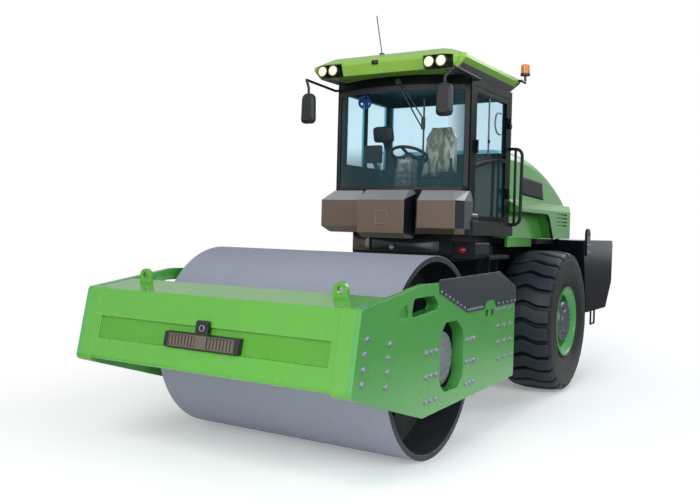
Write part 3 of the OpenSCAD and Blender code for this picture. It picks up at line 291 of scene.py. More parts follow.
smooth_spray = dict(Mottle=0.06, Grain=0.004, Grain_Size=45.0)
yoke_spray = dict(Wear=0.45, Gloss=0.27, Dust=0.006, **smooth_spray)
yoke_gloss = dict(Coat_Weight=0.4, Coat_Roughness=0.06)
yoke_paint, tree, bsdf = shader("yoke_paint")
x, y, z = parts(tree)
# The beam's recessed pocket is painted a darker, deeper green: painted shade.
pocket_shade = product(tree, ramp(tree, z, pocket_low, pocket_low + pocket_edge),
                    ramp(tree, z, pocket_high, pocket_high - pocket_edge), above(tree, x, pocket_back),
                    below(tree, maths(tree, "ABSOLUTE", y), pocket_half))
yoke_tint = blend(tree, pocket_shade, (0.095, 0.345, 0.040), (0.070, 0.290, 0.018))
coat(bsdf, yoke_tint, Edge=(0.42, 0.72, 0.27), **yoke_spray)
surface(bsdf, **yoke_gloss)
dress(yoke_paint, "front_beam", "rear_crossmember", "front_lift_eyes")
# The side plates take a darker, bluer copy of the yoke paint: painted shade with a painted cool sky
# reflection.
shaded_side_paint = painted("shaded_side_paint", (0.074, 0.330, 0.066), yoke_gloss, Edge=(0.36, 0.68, 0.30), **yoke_spray)
dress(shaded_side_paint, "side_plate_left", "side_plate_right")


def skin(name, points, body, material, around=True, smooth=True):
    """A mesh over grids of points, shaped copies x rows x columns x 3. Each cell of a grid is a face, around
    joins a row's end to its start, and points that fall together are made one."""
    copies, rows, columns, _ = points.shape
    here = np.arange(columns if around else columns - 1)
    beside = (here + 1) % columns
    start = np.arange(rows - 1)[:, None] * columns
    cell = np.stack([start + here, start + beside, start + columns + beside, start + columns + here], -1)
    faces = np.arange(copies)[:, None, None] * rows * columns + cell.reshape(-1, 4)
    mesh = bpy.data.meshes.new(name)
    mesh.from_pydata(points.reshape(-1, 3).tolist(), [], faces.reshape(-1, 4).tolist())
    work = bmesh.new()
    work.from_mesh(mesh)
    bmesh.ops.remove_doubles(work, verts=work.verts, dist=1e-6)
    bmesh.ops.recalc_face_normals(work, faces=work.faces)
    work.to_mesh(mesh)
    work.free()
    mesh.polygons.foreach_set("use_smooth", np.full(len(mesh.polygons), smooth))
    mesh.materials.append(material)
    piece = bpy.data.objects.new(name, mesh)
    bpy.context.scene.collection.objects.link(piece)
    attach(piece, body)
    return piece


def turned(profile, places, aim, sides=32, hexed=()):
    """Points of a profile of (radius, height) pairs turned about the direction aim at each place. The rows in
    hexed follow a hexagon: the radius is divided by the cosine of the angle from a flat's middle."""
    profile = np.asarray(profile, float)
    places = np.asarray(places, float).reshape(-1, 3)
    aim = np.asarray(aim, float) / np.linalg.norm(aim)
    side = np.cross(aim, (0.0, 0.0, 1.0) if abs(aim[2]) < 0.9 else (1.0, 0.0, 0.0))
    side = side / np.linalg.norm(side)
    over = np.cross(aim, side)
    angle = np.arange(sides) * 2 * np.pi / sides
    reach = np.repeat(profile[:, :1], sides, axis=1)
    reach[list(hexed)] /= np.cos(angle % (np.pi / 3) - np.pi / 6)
    ring = np.cos(angle)[:, None] * side + np.sin(angle)[:, None] * over
    shape = reach[..., None] * ring + profile[:, 1, None, None] * aim
    return places[:, None, None, :] + shape


steel = painted("zinc_steel", (0.34, 0.39, 0.42), dict(Metallic=0.85), Edge=(0.6, 0.63, 0.66), Wear=0.4,
                Gloss=0.36, Mottle=0.3, Dust=0.1, Round=0.002)


def bolts(name, places, aims, size, body, material=steel):
    """Hex bolts on washers, one mesh: a washer ring, six flats and a turned chamfer on top. aims are the
    directions that they stand along, each with its own places, and size is half the width over the flats."""
    washer = [(0.0, 0.0), (1.38, 0.0), (1.38, 0.16)]
    head = [(1.0, 0.17), (1.0, 0.70), (0.94, 0.80), (0.0, 0.81)]
    rows = np.array(washer + head) * size
    heads = [turned(rows, spots, aim, 24, hexed=(3, 4)) for spots, aim in zip(places, aims)]
    return skin(name, np.concatenate(heads), body, material, smooth=False)


def both_sides(spots, y):
    """Places at x and z from the drum's axle, on the left side at y and on the right one."""
    spots = np.asarray(spots, float)
    left = np.column_stack([drum_x + spots[:, 0], np.full(len(spots), y), axle_z + spots[:, 1]])
    return [left, left * (1, -1, 1)]


outward = [(0, 1, 0), (0, -1, 0)]
beam_spots = [(1.355, 0.296), (1.382, 0.204), (1.396, 0.108), (1.410, 0.018),
              (1.040, 0.232), (1.063, 0.142), (1.072, 0.047), (1.091, -0.047)]
mount_spots = [(x, z) for x in (0.470, 0.384, 0.296) for z in (0.105, -0.072, -0.251)]
mount_spots += [(x, z) for x in (-0.290, -0.365, -0.445) for z in (0.123, -0.055, -0.230)]
rear_top, rear_lean = 0.320, 0.083
rear_spots = [(x - rear_lean * (rear_top - z), z) for x in (-0.976, -1.133, -1.297)
              for z in (rear_top, 0.170, 0.028, -0.116)]
bolts("yoke_bolts", both_sides(beam_spots + mount_spots + rear_spots, plate_y), outward, 0.018, "front_body")

# Bolted cover sheets on the side plates: pressed steel in charcoal paint, half gloss.
# They hold on by a row of small bolts along their lower edge.
cover_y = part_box("frame_covers")[1].y
dark_paint = painted("charcoal_paint", (0.030, 0.038, 0.047), dict(Coat_Weight=0.25, Coat_Roughness=0.12),
                     Edge=(0.12, 0.14, 0.16), Wear=0.5, Gloss=0.30, Mottle=0.3, Dust=0.10, Grain=0.08)
dress(dark_paint, "frame_covers")
cover_line = np.array([(0.250, 0.545), (-0.285, 0.366), (-0.600, 0.370)])
cover_along = np.linspace(0.02, 1.98, 15)
front_row = np.column_stack([np.interp(cover_along, (0, 1, 2), cover_line[:, k]) for k in (0, 1)])
rear_row = [(x, 0.374) for x in (-0.985, -1.090, -1.200, -1.310, -1.400)]
bolts("cover_bolts", both_sides(np.vstack([front_row, rear_row]), cover_y), outward, 0.008, "front_body")

# The sensor bar across the beam's face: a black moulded housing with taupe ribbed panels and a small camera.
# The camera's lens is a dark glass in a bright turned ring, blank of any mark.
sensor_low, sensor_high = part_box("sensor_bar")
panel_half = sensor_high.y - 0.040
panel_low, panel_high = sensor_low.z + 0.008, sensor_low.z + 0.098
sensor_skin, tree, bsdf = shader("sensor_housing")
x, y, z = parts(tree)
on_panel = product(tree, below(tree, maths(tree, "ABSOLUTE", y), panel_half), below(tree, z, panel_high),
                   above(tree, z, panel_low))
coat(bsdf, blend(tree, on_panel, (0.010, 0.011, 0.012), (0.11, 0.088, 0.070)), Edge=(0.2, 0.2, 0.2), Wear=0.3,
     Gloss=0.45, Grain=0.10, Grain_Size=900.0, Round=0.003)
dress(sensor_skin, "sensor_bar")
lens_glass, tree, bsdf = shader("lens_glass")
# The lens's colour lightens to blue at a slant: a painted sky reflection.
slant = node(tree, "LayerWeight", {"Blend": 0.4}).outputs["Facing"]
surface(bsdf, Base_Color=blend(tree, slant, (0.004, 0.005, 0.010), (0.05, 0.07, 0.12)), Roughness=0.05,
        Coat_Weight=1.0)
lens_aim = (1.0, 0.0, 0.18)
lens_place = (sensor_high.x - 0.0377, -0.006, sensor_high.z - 0.052)
ring_rows = [(0.017, -0.010), (0.017, 0.006), (0.020, 0.009), (0.024, 0.007), (0.025, -0.010),
             (0.017, -0.010)]
skin("camera_ring", turned(ring_rows, lens_place, lens_aim), "front_body", steel)
lens_rows = [(0.0, -0.004), (0.0175, -0.004), (0.014, 0.001), (0.008, 0.004), (0.0, 0.005)]
skin("camera_lens", turned(lens_rows, lens_place, lens_aim), "front_body", lens_glass)

# The drum: a rolled steel shell, ground bright outside with fine lines around it and dark paint within.
# Its ends are dished steel discs, carried by a bolted flange and rubber mounts in each side plate.
drum_r = (drum_high.x - drum_low.x) / 2
skin_depth, line_stretch, line_count, bare_metal = 0.0015, 1.5, 60.0, 0.12
flange_r, flange_edge = 0.210, 0.004
flange_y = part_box("drum_mounts")[1].y - 0.047


def from_axle(tree, axle_x, axle_z):
    """How far a point lies from an axle along Y: ahead of it, over it, and the root of their squares' sum."""
    x, _, z = parts(tree)
    ahead = maths(tree, "SUBTRACT", x, axle_x)
    over = maths(tree, "SUBTRACT", z, axle_z)
    squares = maths(tree, "ADD", product(tree, ahead, ahead), product(tree, over, over))
    return ahead, over, maths(tree, "SQRT", squares)


drum_steel, tree, bsdf = shader("drum_steel")
ahead, over, radius = from_axle(tree, drum_x, axle_z)
turn = product(tree, maths(tree, "ARCTAN2", over, ahead), line_stretch)
along = product(tree, parts(tree)[1], line_count)
unrolled = node(tree, "CombineXYZ", {0: turn, 1: along}).outputs[0]
lines = noise(tree, 1.6, detail=6.0, vector=unrolled)
patches = noise(tree, 0.12, detail=4.0, vector=unrolled)
bare = blend(tree, ramp(tree, lines, 0.3, 0.7), (0.262, 0.277, 0.348), (0.288, 0.304, 0.380))
bare = blend(tree, ramp(tree, patches, 0.45, 0.75), bare, (0.272, 0.286, 0.352))
outside = above(tree, radius, drum_r - skin_depth)
coat(bsdf, blend(tree, outside, (0.022, 0.026, 0.035), bare), Edge=(0.50, 0.52, 0.58), Wear=0.6, Gloss=0.58,
     Mottle=0.12, Dust=0.12, Grain=0.12, Grain_Size=180.0, Round=0.008)
surface(bsdf, Metallic=product(tree, outside, bare_metal))
dress(drum_steel, "drum_shell")

cast_iron = painted("cast_iron", (0.028, 0.031, 0.035), {}, Edge=(0.16, 0.16, 0.16), Wear=0.45, Gloss=0.52,
                    Mottle=0.4, Dust=0.30, Grain=0.30, Grain_Size=260.0)
dress(cast_iron, "drum_ends", "hitch_block", "rear_axle")
mount_skin, tree, bsdf = shader("drum_mount")
_, _, radius = from_axle(tree, drum_x, axle_z)
past_flange = ramp(tree, radius, flange_r - flange_edge, flange_r + flange_edge)
coat(bsdf, blend(tree, past_flange, (0.20, 0.21, 0.23), (0.016, 0.018, 0.021)), Edge=(0.3, 0.3, 0.3),
     Wear=0.4, Gloss=0.5, Mottle=0.5, Dust=0.25, Grain=0.25, Grain_Size=260.0)
dress(mount_skin, "drum_mounts")


def circle(count, radius, start=0.0):
    """Spots spaced evenly on a circle, as (x, z) pairs."""
    angle = start + np.arange(count) * 2 * np.pi / count
    return np.column_stack([radius * np.cos(angle), radius * np.sin(angle)])


flange_spots = np.vstack([circle(16, 0.182), circle(10, 0.120, 0.2)])
bolts("mount_bolts", both_sides(flange_spots, flange_y), outward, 0.012, "front_body")

# The hitch's two steering cylinders: painted barrels and bright chromed rods between dark cast ears.
# Each rod is ground smooth and mirrors what is near it.
dress(dark_paint, "steer_barrel_left", "steer_barrel_right")
chrome = painted("chromed_rod", (0.78, 0.79, 0.80), dict(Metallic=1.0), Edge=(0.9, 0.9, 0.9), Wear=0.1,
                 Gloss=0.10, Mottle=0.05, Dust=0.05, Round=0.003)
dress(chrome, "steer_rod_left", "steer_rod_right")

# The rear chassis under cab and hood: welded beams and decks in charcoal paint, dustier near the ground.
# The steps hang from it and have the same paint over coarse grip.
chassis_paint = painted("chassis_paint", (0.008, 0.010, 0.013), dict(Specular_IOR_Level=0.2),
                        Edge=(0.07, 0.08, 0.09), Wear=0.5, Gloss=0.42, Mottle=0.3, Dust=0.12, Grain=0.18,
                        Grain_Size=300.0)
dress(chassis_paint, "rear_frame", "deck_frame", "cab_platform", "access_steps", "rear_steps", "power_unit")

# The wheels: rubber tyres with a chevron tread on deep-dished rims, green at the lip with a dark grey hub.
# Each tyre is a finer skin over the construction's rows, with its bars in the same places and rounded edges.
# Fine rings run around the rubber's side, and two rings of nuts hold the hub.
tyre_low, tyre_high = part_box("tyre_left")
wheel_x, wheel_y, wheel_z = (tyre_low + tyre_high) / 2
tyre_r = (tyre_high.z - tyre_low.z) / 2
tread_foot, tread_edge, crown_bend, sunk_start, sunk_end = 0.700, 0.735, 0.38, 0.010, 0.042
groove_depth, groove_half, mouth_half, land_start = 0.052, 0.019, 0.030, 0.052
bars = 26
shoulder_top, side_ring_r, ring_waves = 0.77, 0.62, 520.0
hands = ((1, "left"), (-1, "right"))

rubber, tree, bsdf = shader("tyre_rubber")
_, _, reach = from_axle(tree, wheel_x, wheel_z)
off_middle = maths(tree, "SUBTRACT", maths(tree, "ABSOLUTE", parts(tree)[1]), wheel_y)
crown = maths(tree, "MULTIPLY_ADD", product(tree, off_middle, off_middle), -crown_bend, tyre_r)
# The grooves' floors are painted nearly black: painted shade in the tread.
groove_shade = product(tree, ramp(tree, maths(tree, "SUBTRACT", crown, reach), sunk_start, sunk_end),
               ramp(tree, reach, tread_foot, tread_edge))
# The tread and shoulders are tinted bluer than the side: a painted sky reflection.
tint = blend(tree, ramp(tree, reach, tread_foot, shoulder_top), (0.015, 0.016, 0.018), (0.012, 0.020, 0.030))
tint = blend(tree, groove_shade, tint, (0.002, 0.003, 0.005))
rubber_coat = coat(bsdf, tint, Edge=(0.060, 0.075, 0.095), Wear=0.5, Gloss=0.52, Mottle=0.4, Dust=0.04,
                   Grain=0.25, Grain_Size=160.0, Round=0.010)
rings = product(tree, maths(tree, "SINE", maths(tree, "MULTIPLY", reach, ring_waves)),
                below(tree, reach, side_ring_r))
surface(bsdf, Specular_IOR_Level=0.35, Normal=bump(tree, 0.35, 0.003, rings, Normal=rubber_coat["Normal"]))

# Half the tyre's section from the bead to the middle of the tread: radius, y, groove depth and shift around.
half_section = np.array([
    (0.3514, 0.235, 0.0, -0.004), (0.403, 0.235, 0.0, -0.004), (0.5126, 0.300, 0.0, -0.004),
    (0.7089, 0.2955, 0.0, -0.004), (0.773, 0.270, 0.0442, -0.005), (0.7954, 0.150, groove_depth, -0.008),
    (tyre_r, 0.0, groove_depth, 0.052)])


def tyre_skin():
    """Points of a tyre about its own middle: the section's rows are halved once and their corners cut once.
    Each column runs round the wheel at a bar's angle plus its row's shift, and drops by the groove's depth,
    smoothly from the mouth's edge to the floor."""
    rows = np.vstack([half_section, half_section[-2::-1] * (1, -1, 1, 1)])
    halved = np.stack([rows[:-1], (rows[:-1] + rows[1:]) / 2], 1).reshape(-1, 4)
    rows = np.vstack([halved, rows[-1:]])
    before, after = rows[:-1], rows[1:]
    cut = np.stack([before * 0.75 + after * 0.25, before * 0.25 + after * 0.75], 1).reshape(-1, 4)
    rows = np.vstack([rows[:1], cut, rows[-1:], rows[:1]])
    pitch = 2 * np.pi / bars
    wall = np.array((0.010, groove_half, 0.0225, 0.0265, mouth_half, 0.034))
    land = np.linspace(land_start, pitch * tyre_r - land_start, 5)
    along = np.concatenate([-wall[::-1], wall, land])
    share = np.clip((mouth_half - np.abs(along)) / (mouth_half - groove_half), 0.0, 1.0)
    share = np.tile(share * share * (3 - 2 * share), bars)
    start = -np.pi / 2 - (mouth_half + land_start) / tyre_r
    angle = start + (np.arange(bars)[:, None] * pitch + along / tyre_r).ravel()
    angle = angle[None, :] + rows[:, 3:] / tyre_r
    reach = rows[:, :1] - rows[:, 2:3] * share
    sideways = np.broadcast_to(rows[:, 1:2], reach.shape)
    return np.stack([reach * np.cos(angle), sideways, reach * np.sin(angle)], -1)[None]


for side, hand in hands:
    tyre = skin("tread_" + hand, tyre_skin() + (wheel_x, side * wheel_y, wheel_z), "wheel_" + hand, rubber)
    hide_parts("tyre_" + hand)

rim_paint, tree, bsdf = shader("rim_paint")
lip_r, lip_edge, hub_r = 0.289, 0.003, 0.226
_, _, reach = from_axle(tree, wheel_x, wheel_z)
past_lip = ramp(tree, reach, lip_r - lip_edge, lip_r + lip_edge)
tint = blend(tree, past_lip, (0.045, 0.066, 0.078), (0.058, 0.320, 0.075))
tint = blend(tree, below(tree, reach, hub_r), tint, (0.060, 0.078, 0.096))
coat(bsdf, tint, Edge=(0.20, 0.50, 0.26), Wear=0.3, Gloss=0.34, Mottle=0.2, Dust=0.25, Grain=0.08)
surface(bsdf, Coat_Weight=0.3)
dress(rim_paint, "rim_left", "rim_right")

hub_face = wheel_y + 0.246
nuts = np.vstack([circle(20, 0.188), circle(10, 0.142, 0.1)])
for side, hand in hands:
    nut_y = np.full(len(nuts), side * hub_face)
    places = np.column_stack([wheel_x + nuts[:, 0], nut_y, wheel_z + nuts[:, 1]])
    bolts("hub_nuts_" + hand, [places], [(0, side, 0)], 0.013, "wheel_" + hand, rim_paint)

# The cab: a black steel frame under a green moulded roof, with a slim black door on its left side.
# The rebate under the roof's edge is painted grey as shade under the overhang, the lamps sit in dark pockets,
# and a dark lining closes it below.
roof_low, roof_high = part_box("roof")
side_eave_z, rear_eave_z = roof_low.z + 0.052, roof_low.z + 0.091
eave_front, eave_rear, eave_y = roof_high.x - 0.1255, roof_low.x + 0.1295, 0.60
wall_front, wall_back = roof_high.x - 0.0743, roof_high.x - 0.0760
pillar = painted("pillar_paint", (0.003, 0.006, 0.0055), dict(Specular_IOR_Level=0.05),
                 Edge=(0.040, 0.046, 0.046), Wear=0.5, Gloss=0.36, Mottle=0.3, Dust=0.02, Grain=0.05,
                 Grain_Size=700.0)
dress(pillar, "cab_frame", "door_frame")

roof_paint, tree, bsdf = shader("roof_paint")
x, y, z = parts(tree)
# The rebate under the roof's edge is painted grey: painted shade under the overhang.
side_eaves = product(tree, below(tree, z, side_eave_z), below(tree, x, eave_front),
                     above(tree, maths(tree, "ABSOLUTE", y), eave_y))
rear_eaves = product(tree, below(tree, z, rear_eave_z), below(tree, x, eave_rear))
lamp_pocket = product(tree, below(tree, x, wall_front), above(tree, x, wall_back))
eave_shade = maths(tree, "MAXIMUM", side_eaves, rear_eaves)
tint = blend(tree, eave_shade, (0.270, 0.505, 0.080), (0.115, 0.108, 0.130))
tint = blend(tree, lamp_pocket, tint, (0.010, 0.011, 0.012))
coat(bsdf, tint, Edge=(0.46, 0.70, 0.30), Wear=0.4, Gloss=0.25, Dust=0.04, Round=0.012, **smooth_spray)
surface(bsdf, Specular_IOR_Level=0.3, Coat_Weight=0.2, Coat_Roughness=0.07)
dress(roof_paint, "roof")

rubber_trim = painted("black_rubber", (0.009, 0.009, 0.010), {}, Edge=(0.04, 0.04, 0.04), Wear=0.4,
                      Gloss=0.60, Mottle=0.3, Dust=0.08, Grain=0.15, Grain_Size=600.0, Round=0.003)


def slabs(places, across, over, half, rows, power=6.0, sides=48):
    """Points of rounded blocks, one at each place: a superellipse outline, half[0] along across and half[1]
    along over, is drawn in by each row's inset and stood at its height along their cross product."""
    places = np.asarray(places, float).reshape(-1, 3)
    across = np.asarray(across, float) / np.linalg.norm(across)
    over = np.asarray(over, float) / np.linalg.norm(over)
    rows = np.asarray(rows, float)
    angle = (np.arange(sides) + 0.5) * 2 * np.pi / sides
    ring = np.stack([np.cos(angle), np.sin(angle)])
    ring = np.sign(ring) * np.abs(ring) ** (2 / power)
    reach = np.maximum(np.asarray(half)[None, :] - rows[:, :1], 0.0)
    shape = reach[:, 0, None, None] * ring[0][:, None] * across
    shape = shape + reach[:, 1, None, None] * ring[1][:, None] * over
    shape = shape + rows[:, 1, None, None] * np.cross(across, over)
    return places[:, None, None, :] + shape


def plate(name, places, across, over, half, thick, edge, material, power=6.0):
    """Flat blocks on the rear body: a flat back, straight sides, a chamfer of width edge and a flat face."""
    rows = [(max(half), 0.0), (0.0, 0.0), (0.0, thick - edge), (edge, thick), (max(half), thick)]
    return skin(name, slabs(places, across, over, half, rows, power), "rear_body", material)


ahead_x, left_y, up_z = (1, 0, 0), (0, 1, 0), (0, 0, 1)
plate("roof_camera", (roof_high.x - 0.001, -0.063, roof_low.z + 0.102), left_y, up_z, half=(0.034, 0.020),
      thick=0.014, edge=0.004, material=rubber_trim)
plate("headliner", (0.03, 0.0, roof_low.z - 0.001), left_y, ahead_x, half=(0.690, 0.480), thick=0.012,
      edge=0.006, material=pillar)

# The work lamps: black cast cups with a rim, two on each side of the roof's front.
# Their lenses are moulded clear plastic, domed and fluted in small squares, and glow faintly.
lights_low, lights_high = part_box("work_lights")
lamp_r, lamp_pitch, flute_waves = 0.053, 0.122, 700.0
lamp_z = (lights_low.z + lights_high.z) / 2
outer_y = lights_high.y - lamp_r
lamp_cup = painted("lamp_cup", (0.012, 0.013, 0.014), {}, Edge=(0.08, 0.08, 0.08), Wear=0.4, Gloss=0.4)
dress(lamp_cup, "work_lights")


def squares(tree, waves):
    """Small squares over a face that looks along X: the product of a wave across it and a wave up it."""
    _, y, z = parts(tree)
    return product(tree, *[maths(tree, "SINE", maths(tree, "MULTIPLY", axis, waves)) for axis in (y, z)])


lamp_lens, tree, bsdf = shader("lamp_lens")
flutes = squares(tree, flute_waves)
surface(bsdf, Base_Color=blend(tree, ramp(tree, flutes, -0.8, 0.8), (0.80, 0.79, 0.52), (0.92, 0.91, 0.68)),
        Normal=bump(tree, 0.3, 0.002, flutes), Roughness=0.12, Coat_Weight=1.0,
        Emission_Color=(1.0, 0.97, 0.66), Emission_Strength=0.28)
lamp_places = [(lights_high.x, side * y, lamp_z) for side in (1, -1) for y in (outer_y - lamp_pitch, outer_y)]
rim_rows = [(0.0525, -0.030), (0.0575, -0.030), (0.0580, 0.004), (0.0555, 0.008), (0.0500, 0.006),
            (0.0490, -0.001), (0.0525, -0.030)]
skin("lamp_rims", turned(rim_rows, lamp_places, ahead_x), "rear_body", lamp_cup)
glow_rows = [(0.0, 0.0005), (0.0495, 0.0005), (0.044, 0.005), (0.032, 0.009), (0.016, 0.0115), (0.0, 0.012)]
skin("lamp_lenses", turned(glow_rows, lamp_places, ahead_x), "rear_body", lamp_lens)

# The glass: thin tinted panes that darken at a slant; their darker foot is painted shade of the cab's inside
# and a painted dark reflection, and the darker band where the windscreen bends back is a painted dark
# reflection.
# On the right and behind, the panes' inner faces glow with the blue of daylight: a painted sky.
# A black rubber border runs around the windscreen, on the arc of the cab's front.
pane_low, pane_high = (corner.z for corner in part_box("windscreen"))
pane_side_x, bend_start, bend_end, bend_most = 0.63, 0.50, 0.72, 0.5
foot_start, foot_end, foot_most = pane_low + 0.53, pane_low + 0.11, 0.52
slant_power, slant_most, shade_spread, shade_least = 4.0, 0.6, 0.05, 0.03
streak_scale = 1.3
glass, tree, bsdf = shader("tinted_glass")
x, y, z = parts(tree)
facing = node(tree, "LayerWeight", {"Blend": 0.5}).outputs["Facing"]
slant = product(tree, maths(tree, "POWER", facing, slant_power), slant_most)
# The darker bend and foot of the panes are painted: a dark reflection at the bend, and shade of the cab's
# inside with a dark reflection at the foot.
bent = product(tree, ramp(tree, maths(tree, "ABSOLUTE", y), bend_start, bend_end, 0.0, bend_most),
               above(tree, x, pane_side_x))
foot = ramp(tree, z, foot_start, foot_end, 0.0, foot_most)
deep = maths(tree, "MAXIMUM", maths(tree, "MAXIMUM", bent, foot), slant)
shade = maths(tree, "MULTIPLY_ADD", noise(tree, streak_scale), shade_spread, shade_least)
surface(bsdf, Base_Color=blend(tree, deep, (0.030, 0.090, 0.115), (0.005, 0.026, 0.020)), Roughness=0.03,
        Specular_IOR_Level=0.3, Alpha=maths(tree, "MAXIMUM", shade, deep))
dress(glass, "windscreen", "door_glass")

# The side and rear panes' inner faces glow sky blue: painted sky light.
sky_glass, tree, bsdf = shader("painted_sky_glass")
streak = noise(tree, streak_scale)
turned_x, turned_y, _ = parts(tree, "Normal")
inner_face = above(tree, maths(tree, "ADD", turned_x, turned_y), 0.0)
daylight = blend(tree, streak, (0.17, 0.68, 0.98), (0.21, 0.74, 1.0))
surface(bsdf, Base_Color=blend(tree, streak, (0.020, 0.060, 0.080), (0.030, 0.080, 0.100)), Roughness=0.03,
        Coat_Weight=1.0, Alpha=0.28, Emission_Color=blend(tree, inner_face, (0, 0, 0), daylight),
        Emission_Strength=1.0)
dress(sky_glass, "side_glass", "rear_glass")

front_r, front_x, border_half, border_gap = 1.2894, -0.4389, 0.735, 0.0015
side_w, head_w, foot_w, border_steps = 0.042, 0.055, 0.030, 24


def on_front(y, z):
    """Points just outside the arc of the cab's front at sideways places y and heights z."""
    y, z = np.broadcast_arrays(y, z)
    return np.stack([front_x + np.sqrt((front_r + border_gap) ** 2 - y ** 2), y, z], -1)


def thicken(piece, thick):
    """Gives a sheet its thickness, half to each side."""
    wall = piece.modifiers.new("thick", "SOLIDIFY")
    wall.thickness = thick
    wall.offset = 0.0


rise = np.linspace(pane_low, pane_high, border_steps)[:, None]
sweep = np.linspace(-border_half, border_half, border_steps)[None, :]
inset = np.linspace(0.0, side_w, border_steps)[None, :]
head = np.linspace(pane_high - head_w, pane_high, border_steps)[:, None]
sill = np.linspace(pane_low, pane_low + foot_w, border_steps)[:, None]
bands = np.stack([on_front(border_half - inset, rise), on_front(inset - border_half, rise),
                  on_front(sweep, head), on_front(sweep, sill)])
thicken(skin("screen_border", bands, "rear_body", rubber_trim, around=False), 0.001)

# The bumper below the windscreen: three moulded shells in taupe metallic paint, their upward faces painted
# blue-grey as a sky reflection and their sides painted darker as shade.
# The middle one has a raised blank badge, and a small taupe box sits on the sill by the door.
badge_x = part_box("fairing_centre")[1].x - 0.0005
sill_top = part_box("cab_platform")[1].z - 0.001
bumper_skin, tree, bsdf = shader("bumper_taupe")
_, turned_y, turned_z = parts(tree, "Normal")
# Upward faces turn blue-grey and sideways faces near black: painted sky reflection and painted shade.
tint = blend(tree, ramp(tree, turned_z, 0.25, 0.75), (0.145, 0.102, 0.077), (0.315, 0.330, 0.345))
tint = blend(tree, ramp(tree, maths(tree, "ABSOLUTE", turned_y), 0.70, 0.88), tint, (0.006, 0.008, 0.014))
coat(bsdf, tint, Edge=(0.36, 0.33, 0.30), Wear=0.45, Gloss=0.34, Mottle=0.2, Dust=0.06, Grain=0.05,
     Grain_Size=900.0, Round=0.010)
surface(bsdf, Metallic=0.25, Coat_Weight=0.3, Coat_Roughness=0.12)
dress(bumper_skin, "fairing_centre", "fairing_sides")
badge_half = (0.072, 0.070)
badge_rows = [(0.080, 0.0), (0.0, 0.0), (0.0, 0.002), (0.003, 0.004), (0.008, 0.004), (0.010, 0.0025),
              (0.080, 0.0025)]
badge = slabs((badge_x, 0.008, 1.912), left_y, up_z, badge_half, badge_rows, power=5.0)
skin("blank_badge", badge, "rear_body", bumper_skin, smooth=False)
plate("sill_box", (0.550, 0.757, sill_top), ahead_x, left_y, half=(0.095, 0.034), thick=0.072, edge=0.010,
      material=bumper_skin)

# The operator's place: moulded black trim, and a seat of two foam pads that swell under tight cloth.
# The seat's back and the steering column are still in clear film, whose pale patches over creases are painted
# highlights.
column_half, column_back = 0.116, 0.38
thread_waves, fold_scale = 1400.0, (9.0, 9.0, 2.5)
trim = painted("moulded_trim", (0.012, 0.014, 0.015), {}, Edge=(0.05, 0.05, 0.055), Wear=0.3, Gloss=0.50,
               Mottle=0.2, Dust=0.05, Grain=0.15, Grain_Size=900.0, Round=0.004)
dress(trim, "seat_base", "steering_wheel", "mirrors", "antenna", "wiper")
wrapped, tree, bsdf = shader("wrapped_column")
x, y, _ = parts(tree)
on_column = product(tree, below(tree, maths(tree, "ABSOLUTE", y), column_half), above(tree, x, column_back))
crease = noise(tree, 14.0, detail=4.0, distortion=1.5)
# The film's pale patches over the creases are painted highlights.
film = blend(tree, ramp(tree, crease, 0.40, 0.68), (0.20, 0.24, 0.225), (0.68, 0.74, 0.70))
coat(bsdf, blend(tree, on_column, (0.012, 0.014, 0.015), film), Edge=(0.06, 0.06, 0.065), Wear=0.3,
     Gloss=0.42, Grain=0.12, Grain_Size=700.0, Round=0.004)
dress(wrapped, "operator_console")

seat_cloth, tree, bsdf = shader("seat_cloth")
waves = [maths(tree, "SINE", maths(tree, "MULTIPLY", axis, thread_waves)) for axis in parts(tree)]
threads = maths(tree, "ADD", product(tree, waves[0], waves[1]), waves[2])
tint = blend(tree, ramp(tree, threads, -1.5, 1.5), (0.020, 0.022, 0.024), (0.060, 0.062, 0.066))
surface(bsdf, Base_Color=tint, Roughness=0.9, Sheen_Weight=0.3, Normal=bump(tree, 0.4, 0.001, threads))
seat_film, tree, bsdf = shader("seat_in_film")
place = node(tree, "TexCoord").outputs["Object"]
drawn_out = node(tree, "VectorMath", {0: place, 1: fold_scale}, operation="MULTIPLY").outputs[0]
fold = noise(tree, 1.6, detail=5.0, distortion=1.2, vector=drawn_out)
# Pale patches in the folds are painted highlights on the film.
surface(bsdf, Base_Color=blend(tree, ramp(tree, fold, 0.38, 0.62), (0.24, 0.28, 0.19), (0.94, 0.98, 0.80)),
        Roughness=0.35, Coat_Weight=1.0, Coat_Roughness=0.06, Normal=bump(tree, 0.8, 0.012, fold))


def settle(piece):
    """Keeps a piece's mesh as its modifiers leave it, and drops them."""
    mesh = bpy.data.meshes.new_from_object(piece.evaluated_get(bpy.context.evaluated_depsgraph_get()))
    piece.modifiers.clear()
    piece.data = mesh


def places_of(piece):
    """A piece's vertices as an array of points."""
    flat = np.empty(len(piece.data.vertices) * 3)
    piece.data.vertices.foreach_get("co", flat)
    return flat.reshape(-1, 3)


